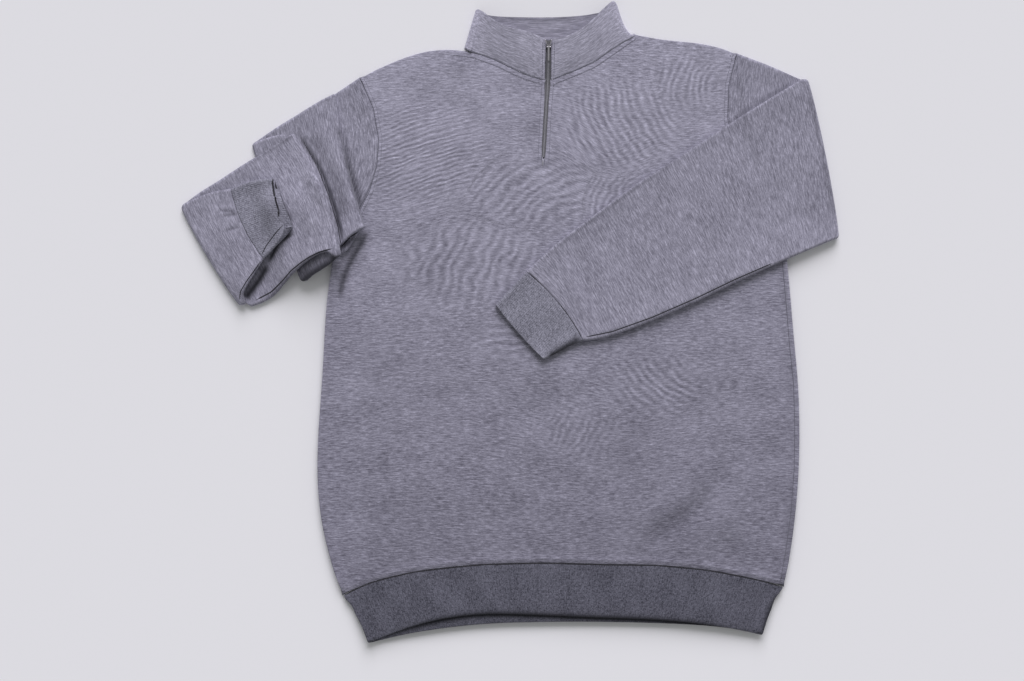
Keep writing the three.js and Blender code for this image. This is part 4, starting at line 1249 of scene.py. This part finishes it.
RIM_SHADE = 0.5  # painted shade: how much darker the colour is made on the fold of its top edge, which faces the light
INSIDE_SHADE = 0.31  # painted shade: how much darker the colour is made inside the neck


def above_panel(place, step):
    """The height of a place, or one just over the front panel where it is under it."""
    under = laid_on(front_tree, place[0], place[1])
    return under[0].z / MM + step if under else place[2]


def collar_lines():
    """Base and top of the collar's outer face, the way in through its wall, and the wall's thickness."""
    lines = curve_through(COLLAR, COLLAR_COLUMNS)
    base, top = lines[:, :3].copy(), lines[:, 3:]
    lean = (top - base)[:, :2]
    lean /= np.linalg.norm(lean, axis=1, keepdims=True)
    base[:, :2] -= lean * COLLAR_LAP * smooth((base[:, 2:] - 5) / 2)
    for row in base:
        if row[2] > COLLAR_LYING:
            row[2] = above_panel(row, COLLAR_STEP)
    inward = np.cross(np.gradient((base + top) / 2, axis=0), top - base)
    inward /= np.linalg.norm(inward, axis=1, keepdims=True)
    for _ in range(INWARD_ROUNDS):
        inward[1:-1] = (inward[:-2] + 2 * inward[1:-1] + inward[2:]) / 4
    at_corner = sum(np.exp(-(((base[:, :1] - x) / CORNER_WIDE) ** 2)) for x in COLLAR_CORNERS)
    return base, top, inward, COLLAR_WALL * (1 - CORNER_THIN * np.minimum(at_corner, 1))


def collar_grid(base, top, inward, wall):
    """Lines of points along the collar: up its outer face, over its folded edge and down its inner one."""
    up = top - base
    half = wall / 2
    tall = np.linalg.norm(up, axis=1, keepdims=True)
    top_share = 1 - half / tall
    standing = smooth((top[:, 2:] - 6) / 8)
    hollow = COLLAR_HOLLOW * np.exp(-(((base[:, :1] - COLLAR_CORNERS[1]) / HOLLOW_WIDE) ** 2))

    def face(h, inset):
        drawn = HOLLOW_WAY * hollow * math.sin(math.pi * h**0.7)
        bulge = COLLAR_BULGE * math.sin(math.pi * h) * standing
        return base + up * (h * top_share) + drawn + inward * (inset - bulge)

    rings = [face(h, 0) for h in np.linspace(0, 1, COLLAR_RISE)]
    for turn in np.linspace(0, math.pi, COLLAR_FOLD + 2)[1:-1]:
        lift = top_share + half / tall * math.sin(turn)
        rings.append(base + up * lift + inward * half * (1 - math.cos(turn)))
    rings += [face(h, wall) for h in np.linspace(1, 0, COLLAR_RISE)]
    grid = np.array(rings)
    grid[:, :, 2] = np.maximum(grid[:, :, 2], 0)
    for place in grid[-2:].reshape(-1, 3):
        if place[2] > COLLAR_LYING:
            place[2] = max(place[2], above_panel(place, INSIDE_STEP))
    return grid


def collar():
    base, top, inward, wall = collar_lines()
    grid = collar_grid(base, top, inward, wall)
    rows, columns = grid.shape[:2]
    faces = []
    for r in range(rows):
        for c in range(columns - 1):
            a, b = r * columns + c, (r + 1) % rows * columns + c
            faces.append((a, a + 1, b + 1, b))
    for c, order in ((0, 1), (columns - 1, -1)):
        for r in range(rows // 2 - 1):
            corners = (r, r + 1, rows - 2 - r, rows - 1 - r)
            faces.append(tuple(k * columns + c for k in corners)[::-order])
    obj = mesh_of("collar_cloth", [at(*p) for p in grid.reshape(-1, 3)], faces)
    turn_outwards(obj)
    length = lengths_along((base + top) / 2)[-1]
    along = np.tile(np.linspace(0, length, columns), rows)
    shares = np.linspace(0, 1, COLLAR_RISE)
    heights = np.concatenate([shares, np.ones(COLLAR_FOLD), shares[::-1]])
    tall = np.linalg.norm(top - base, axis=1).mean()
    store(obj, "grain", np.column_stack([along, np.repeat(heights, columns) * tall]) * MM)
    # Painted shade inside the neck and on the fold of its top edge.
    row_of = np.repeat(np.arange(rows), columns)
    inside = (row_of >= rows // 2) | (np.tile(top[:, 2], rows) < 1)
    rim = np.exp(-(((row_of - rows / 2) / 3) ** 2))
    store(obj, "shade", inside * INSIDE_SHADE + rim * RIM_SHADE)
    return obj


# --- Seams --------------------------------------------------------------------------------------------

STITCH = {"long": 2.9, "gap": 0.5, "wide": 0.7, "high": 0.4}
STITCH_SIDES = 6
STITCH_SECTIONS = ((0, 0.35), (0.22, 0.95), (0.78, 0.95), (1, 0.35))


def laid_on(tree, x, y):
    """The point of a cloth's upper face at a pattern place and its normal, or None beside it."""
    hit, normal, _, _ = tree.ray_cast(at(x, y, ABOVE_ALL), DOWN)
    if hit is None:
        return None
    return hit, normal if normal.z > 0 else -normal


def stitch_row(name, tree, path):
    """A row of lockstitches along a path on a cloth, joined in one mesh."""
    line = evenly(path, 0.5)
    along = lengths_along(line)
    points, faces = [], []
    for start in np.arange(0, along[-1] - STITCH["long"], STITCH["long"] + STITCH["gap"]):
        ends = []
        for s in (start, start + STITCH["long"]):
            ends.append(laid_on(tree, np.interp(s, along, line[:, 0]), np.interp(s, along, line[:, 1])))
        if None in ends or (ends[1][0] - ends[0][0]).length > 2 * STITCH["long"] * MM:
            continue
        (a, normal), (b, _) = ends
        side, up = across_line((a, b), 0, normal)
        first = len(points)
        for share, size in STITCH_SECTIONS:
            half = size * 0.5 * MM
            half_axes = (side * (STITCH["wide"] * half), up * (STITCH["high"] * half))
            points += ring_round(a.lerp(b, share), *half_axes, STITCH_SIDES)
        faces += loop_faces(first, len(STITCH_SECTIONS), STITCH_SIDES)
    return mesh_of(name, points, faces)


def laid_line(name, tree, path, wide=1.0, high=0.5):
    """A thin tube laid along a path on a cloth; in a dark material it is a line of painted shade."""
    laid = [laid_on(tree, x, y) for x, y in evenly(path, 1.5)]
    places, normals = zip(*[place for place in laid if place])
    points = []
    for i, place in enumerate(places):
        side, up = across_line(places, i, normals[i])
        half = 0.5 * MM * float(0.3 + 0.7 * smooth(min(i, len(places) - 1 - i) / 4))
        points += ring_round(place, side * (wide * half), up * (high * half), STITCH_SIDES)
    return mesh_of(name, points, loop_faces(0, len(places), STITCH_SIDES))


def beside(path, by):
    """A path moved to its left, or its right below 0."""
    line = evenly(path, 4)
    ahead = np.gradient(line, axis=0)
    ahead /= np.linalg.norm(ahead, axis=1, keepdims=True)
    return line + by * np.column_stack([-ahead[:, 1], ahead[:, 0]])


# --- Zip ------------------------------------------------------------------------------------------------

TOOTH = {"pitch": 1.3, "thick": 0.42, "tall": 1.4, "lift": 1.0}
TOOTH_SECTIONS = ((-0.5, 0.7), (0.1, 1.0), (1.1, 0.9), (1.6, 0.55))
TOOTH_SIDES = 8
ZIP_TOP = 708
PULL_SHARE = 0.62  # the pull tab's width against its solid's


def coil_chain():
    """Two rows of coil turns that interlock along the zip's middle."""
    points, faces = [], []
    heights = np.arange(ZIP_LINE[0][0] + 1, ZIP_TOP, TOOTH["pitch"])
    for side in (-1, 1):
        for y in heights + (side + 1) * TOOTH["pitch"] / 4:
            x, z = zip_at(y)
            first = len(points)
            for out, size in TOOTH_SECTIONS:
                half = TOOTH["thick"] * size * MM
                half_axes = (Vector((0, half, 0)), Vector((0, 0, side * TOOTH["tall"] * half)))
                points += ring_round(at(x + side * out, y, z + TOOTH["lift"]), *half_axes, TOOTH_SIDES)
            faces += loop_faces(first, len(TOOTH_SECTIONS), TOOTH_SIDES)
    return mesh_of("coil_chain", points, faces)


BAR_SECTIONS = 12


def bar(name, path, thick):
    """A round bar through points of the row frame, in metres."""
    line = [Vector(p) for p in curve_through(path, BAR_SECTIONS)]
    points = []
    for i, place in enumerate(line):
        side, up = across_line(line, i, -DOWN)
        points += ring_round(place, side * (thick / 2 * MM), up * (thick / 2 * MM), TOOTH_SIDES)
    return mesh_of(name, points, loop_faces(0, BAR_SECTIONS, TOOTH_SIDES))


# --- Build ----------------------------------------------------------------------------------------------

CUFF_WAIST = {"height": 516, "reach": 20, "from": -376, "to": -342, "by": 5.5}


def draw_in(obj, waist):
    """Draws a cuff's opening in where it is pinched."""
    points = points_of(obj)
    x, y = pattern(points)
    near = np.exp(-(((y - waist["height"]) / waist["reach"]) ** 2))
    share = smooth((x - waist["from"]) / (waist["to"] - waist["from"]))
    points[:, 0] -= waist["by"] * near * share * MM
    put_points(obj, points)


def cuff_layer(layer):
    """The layer of a sleeve's end, for the thicker cuff that goes on from it."""
    return lambda plan, shares: layer(plan, shares) + RIB_HALF - FLEECE_HALF


SLEEVE_CLOTH = (FLEECE_HALF, FLEECE_WALL, FINE_SLEEVE)
CUFF_CLOTH = (RIB_HALF, RIB_WALL, FINE_CUFF)
right_sleeve, right_runs = tube("right_sleeve", SLEEVE_RIGHT, LAYERS_RIGHT, *SLEEVE_CLOTH)
left_sleeve, left_runs = tube("left_sleeve", SLEEVE_LEFT, LAYERS_LEFT, *SLEEVE_CLOTH)
right_layer, left_layer = [cuff_layer(LAYERS_RIGHT[5])], [cuff_layer(LAYERS_LEFT[1])]
right_cuff, right_cuff_runs = tube("right_cuff", cuff_rows(CUFF_RIGHT), right_layer, *CUFF_CLOTH)
left_cuff, left_cuff_runs = tube("left_cuff", cuff_rows(CUFF_LEFT), left_layer, *CUFF_CLOTH)
draw_in(right_cuff, CUFF_WAIST)
sleeve_trees = [tree_of(obj) for obj in (right_sleeve, left_sleeve, right_cuff, left_cuff)]
creased(right_sleeve, RIGHT_SLEEVE_CREASES, RIGHT_SLEEVE_CREVICES, [sleeve_trees[0], sleeve_trees[2]])
creased(left_sleeve, LEFT_SLEEVE_CREASES, LEFT_SLEEVE_CREVICES, [sleeve_trees[1]])
shade_and_press(left_cuff, LEFT_CUFF_CREVICES)
for obj, runs, material, slot, node in (
    (right_sleeve, right_runs, FLEECE_SLEEVE, "fleece", "sleeve_right"),
    (left_sleeve, left_runs, FLEECE_SLEEVE, "fleece", "sleeve_left"),
    (right_cuff, right_cuff_runs[:, ::-1], RIB_CUFF, "rib_cuff", "cuff_right"),
    (left_cuff, left_cuff_runs[:, ::-1], RIB_CUFF, "rib_cuff", "cuff_left"),
):
    store(obj, "grain", runs * MM)
    finish_piece(obj, material, [node])

panels = {name: shell(name) for name in SHELLS}
for name in ("back", "front"):
    x, y = pattern(points_of(panels[name]))
    store(panels[name], "grain", runs_on_body(x, y) * MM)
    store(panels[name], "waves", waves_on_body(x, y))
    finish_piece(panels[name], FLEECE, [SHELLS[name]["node"]])
shape_front(panels["front"], sleeve_trees)
shape_back(panels["back"])
store(panels["hem"], "grain", runs_on_hem(*pattern(points_of(panels["hem"]))) * MM)
shape_hem(panels["hem"])
finish_piece(panels["hem"], RIB_HEM, ["hem_band"])

collar_cloth = collar()
finish_piece(collar_cloth, FLEECE_COLLAR, ["collar"])

cloths = {
    "back": panels["back"],
    "front": panels["front"],
    "hem": panels["hem"],
    "collar": collar_cloth,
    "right_sleeve": right_sleeve,
    "left_sleeve": left_sleeve,
    "right_cuff": right_cuff,
    "left_cuff": left_cuff,
}
trees = {name: tree_of(obj) for name, obj in cloths.items()}
sewn = {name: [] for name in cloths}  # the stitches and seam lines on each cloth
STITCHES = {
    "armhole_right": ("front", beside(ARMHOLE_RIGHT, 5)),
    "armhole_left": ("front", beside(ARMHOLE_LEFT, -5)),
    "neck_right": ("front", beside(NECK_SEAM_RIGHT, 7.4)),
    "neck_left": ("front", beside(NECK_SEAM_LEFT, -7.4)),
    "hem": ("front", beside(HEM_SEAM, 5)),
    "zip_right": ("front", [(-27.5, 566), (-25, 620), (-22.5, 664)]),
    "zip_left": ("front", [(-14, 566), (-11.5, 620), (-8, 664)]),
    "collar_right": ("collar", [(-22, 674), (-21.6, 715)]),
    "collar_left": ("collar", [(-7.6, 674), (-7, 715)]),
}
for name, (cloth, path) in STITCHES.items():
    row = stitch_row("stitches_" + name, trees[cloth], path)
    finish_piece(row, THREAD)
    sewn[cloth].append(row)

SLIT = [(-356, 547), (-354, 534), (-351.5, 521), (-348, 510), (-346, 501), (-347.5, 498)]
SEAM_LINES = {  # painted shade lines along seams and beside the zip's end: the cloth it lies on, its path and its width
    "armhole_right": ("front", beside(ARMHOLE_RIGHT, 0.8), 1.0),
    "armhole_left": ("front", beside(ARMHOLE_LEFT, -0.8), 1.0),
    "side_left": ("front", beside(SIDE_LEFT, 6), 0.8),
    "neck_right": ("front", beside(NECK_SEAM_RIGHT, 6.6), 0.45),
    "neck_left": ("front", beside(NECK_SEAM_LEFT, -6.6), 0.6),
    "zip_end_right": ("front", [(-22.4, 582), (-23.6, 564)], 1.0),
    "zip_end_left": ("front", [(-18.2, 582), (-19.4, 564)], 1.0),
}
LEFT_LIP = [(32, 351), (64, 357.5), (113, 375), (166, 398), (216, 422), (262, 442)]
LEFT_CUFF_SEAM = [(-37.5, 429.5), (-24, 416.5), (-8.5, 400.5), (5, 384.5), (16, 368.5), (26, 352.5)]
CUFF_EDGE = [(-352, 543), (-350.6, 530), (-345.6, 519), (-339.2, 505), (-332.6, 491)]
# Lines of painted shadow where edges overhang and along seams and cuffs: the cloth each lies on, its path and
# its width.
SHADOW_LINES = {
    "sleeve_fold": ("right_sleeve", [(-397, 397), (-395, 407), (-387, 420), (-376, 435), (-370, 444)], 1.3),
    "sleeve_lip": ("right_sleeve", beside(TOP_LIP, 2.4), 1.7),
    "layer_edge": ("right_sleeve", [(-318, 593), (-300, 561), (-286, 526), (-275, 490), (-270, 463)], 1.4),
    "pleat_lip": ("right_sleeve", [(-271, 462), (-259, 475), (-242, 485)], 1.4),
    "left_lip": ("left_sleeve", LEFT_LIP, 1.4),
    "left_cuff": ("left_sleeve", LEFT_CUFF_SEAM, 0.9),
    "hem": ("hem", beside(HEM_SEAM, -0.8), 1.2),
    "cuff_lip": ("right_cuff", [(-371, 447), (-363, 463), (-352, 477), (-341, 488)], 1.4),
    "cuff_slit": ("right_cuff", SLIT, 2.3),
    "cuff_edge": ("right_sleeve", CUFF_EDGE, 1.9),
}
for lines, material in ((SEAM_LINES, SEAM_SHADE), (SHADOW_LINES, PAINTED_SHADOW)):
    for name, (cloth, path, wide) in lines.items():
        line = laid_line("painted_shade_" + name, trees[cloth], path, wide)
        finish_piece(line, material)
        sewn[cloth].append(line)
zip_end = laid_line("zip_end", trees["front"], [(-20.4, 580), (-21.6, 563.5)], 2.4)
finish_piece(zip_end, COIL)
sewn["front"].append(zip_end)

slider_low, slider_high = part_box("zip_slider")
slider_x = (slider_low.x + slider_high.x) / 2
SLIDER_BARS = {  # each point is its distance from the slider's middle and lower end, and its height
    "slider_wing_right": ([(-0.9, 2.4, 21.2), (-2.5, 5.6, 22.9), (-4.3, 9.6, 24.6)], 1.7, NICKEL),
    "slider_wing_left": ([(1.2, 2.4, 21.2), (2.5, 5.6, 22.9), (3.4, 9.6, 24.6)], 1.5, NICKEL),
    "slider_bridge": ([(-2.6, 1.4, 20.6), (0, 1.1, 21.2), (2.8, 1.4, 20.6)], 1.6, NICKEL),
    # a bar of painted shadow under the slider's lower end
    "slider_gap_shadow": ([(-3.1, -0.6, 19.2), (0, -0.9, 19.6), (3.1, -0.6, 19.2)], 1.9, PAINTED_SHADOW),
}
for name, (path, thick, material) in SLIDER_BARS.items():
    line = [(slider_x + x * MM, slider_low.y + y * MM, z * MM) for x, y, z in path]
    finish_piece(bar(name, line, thick), material)

chain = coil_chain()
finish_piece(chain, COIL, ["zip_coil"])
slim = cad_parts["zip_pull"].data.copy()
middle = sum(v.co.x for v in slim.vertices) / len(slim.vertices)
for vertex in slim.vertices:
    vertex.co.x = middle + (vertex.co.x - middle) * PULL_SHARE
pull = placed("pull_tab", slim)
pull.matrix_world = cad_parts["zip_pull"].matrix_world
finish_piece(pull, NICKEL, ["zip_pull"], "zip_pull")
for node, material in (("zip_tape_right", TAPE), ("zip_tape_left", TAPE), ("zip_slider", SLIDER)):
    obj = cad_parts[node]
    obj.data.materials.clear()
    obj.data.materials.append(material)

# --- Stage ------------------------------------------------------------------------------------------------

GROUND_DROP = 0.3 * MM
GROUND = 30.0
corners = [(-GROUND, -GROUND), (GROUND, -GROUND), (GROUND, GROUND), (-GROUND, GROUND)]
ground = mesh_of("ground", [(x, y, -GROUND_DROP) for x, y in corners], [(0, 1, 2, 3)])
ground_nodes = Nodes("ground")
ground_nodes.set(Base_Color=(0.805, 0.796, 0.84, 1), Roughness=0.9, Specular_IOR_Level=0.1)
ground.data.materials.append(ground_nodes.material)

world = bpy.data.worlds.new("studio")
bpy.context.scene.world = world
world.use_nodes = True
world.node_tree.nodes["Background"].inputs["Color"].default_value = (0.975, 1.0, 0.965, 1)
world.node_tree.nodes["Background"].inputs["Strength"].default_value = 0.37

SUN_RISE = math.radians(34)
SUN_TURN = math.radians(-4)
sun_data = bpy.data.lights.new("key", "SUN")
sun_data.energy = 2.95
sun_data.angle = math.radians(42)
sun_data.color = (1.0, 0.985, 1.02)
sun = placed("key", sun_data)
sun.rotation_euler = (-(math.pi / 2 - SUN_RISE), 0, SUN_TURN)

camera_data = bpy.data.cameras.new("camera")
camera_data.lens = 70
camera = placed("camera", camera_data)
camera.location = at(-59.5, 346.6, 2475)
bpy.context.scene.camera = camera
bpy.context.scene.view_settings.view_transform = "Standard"
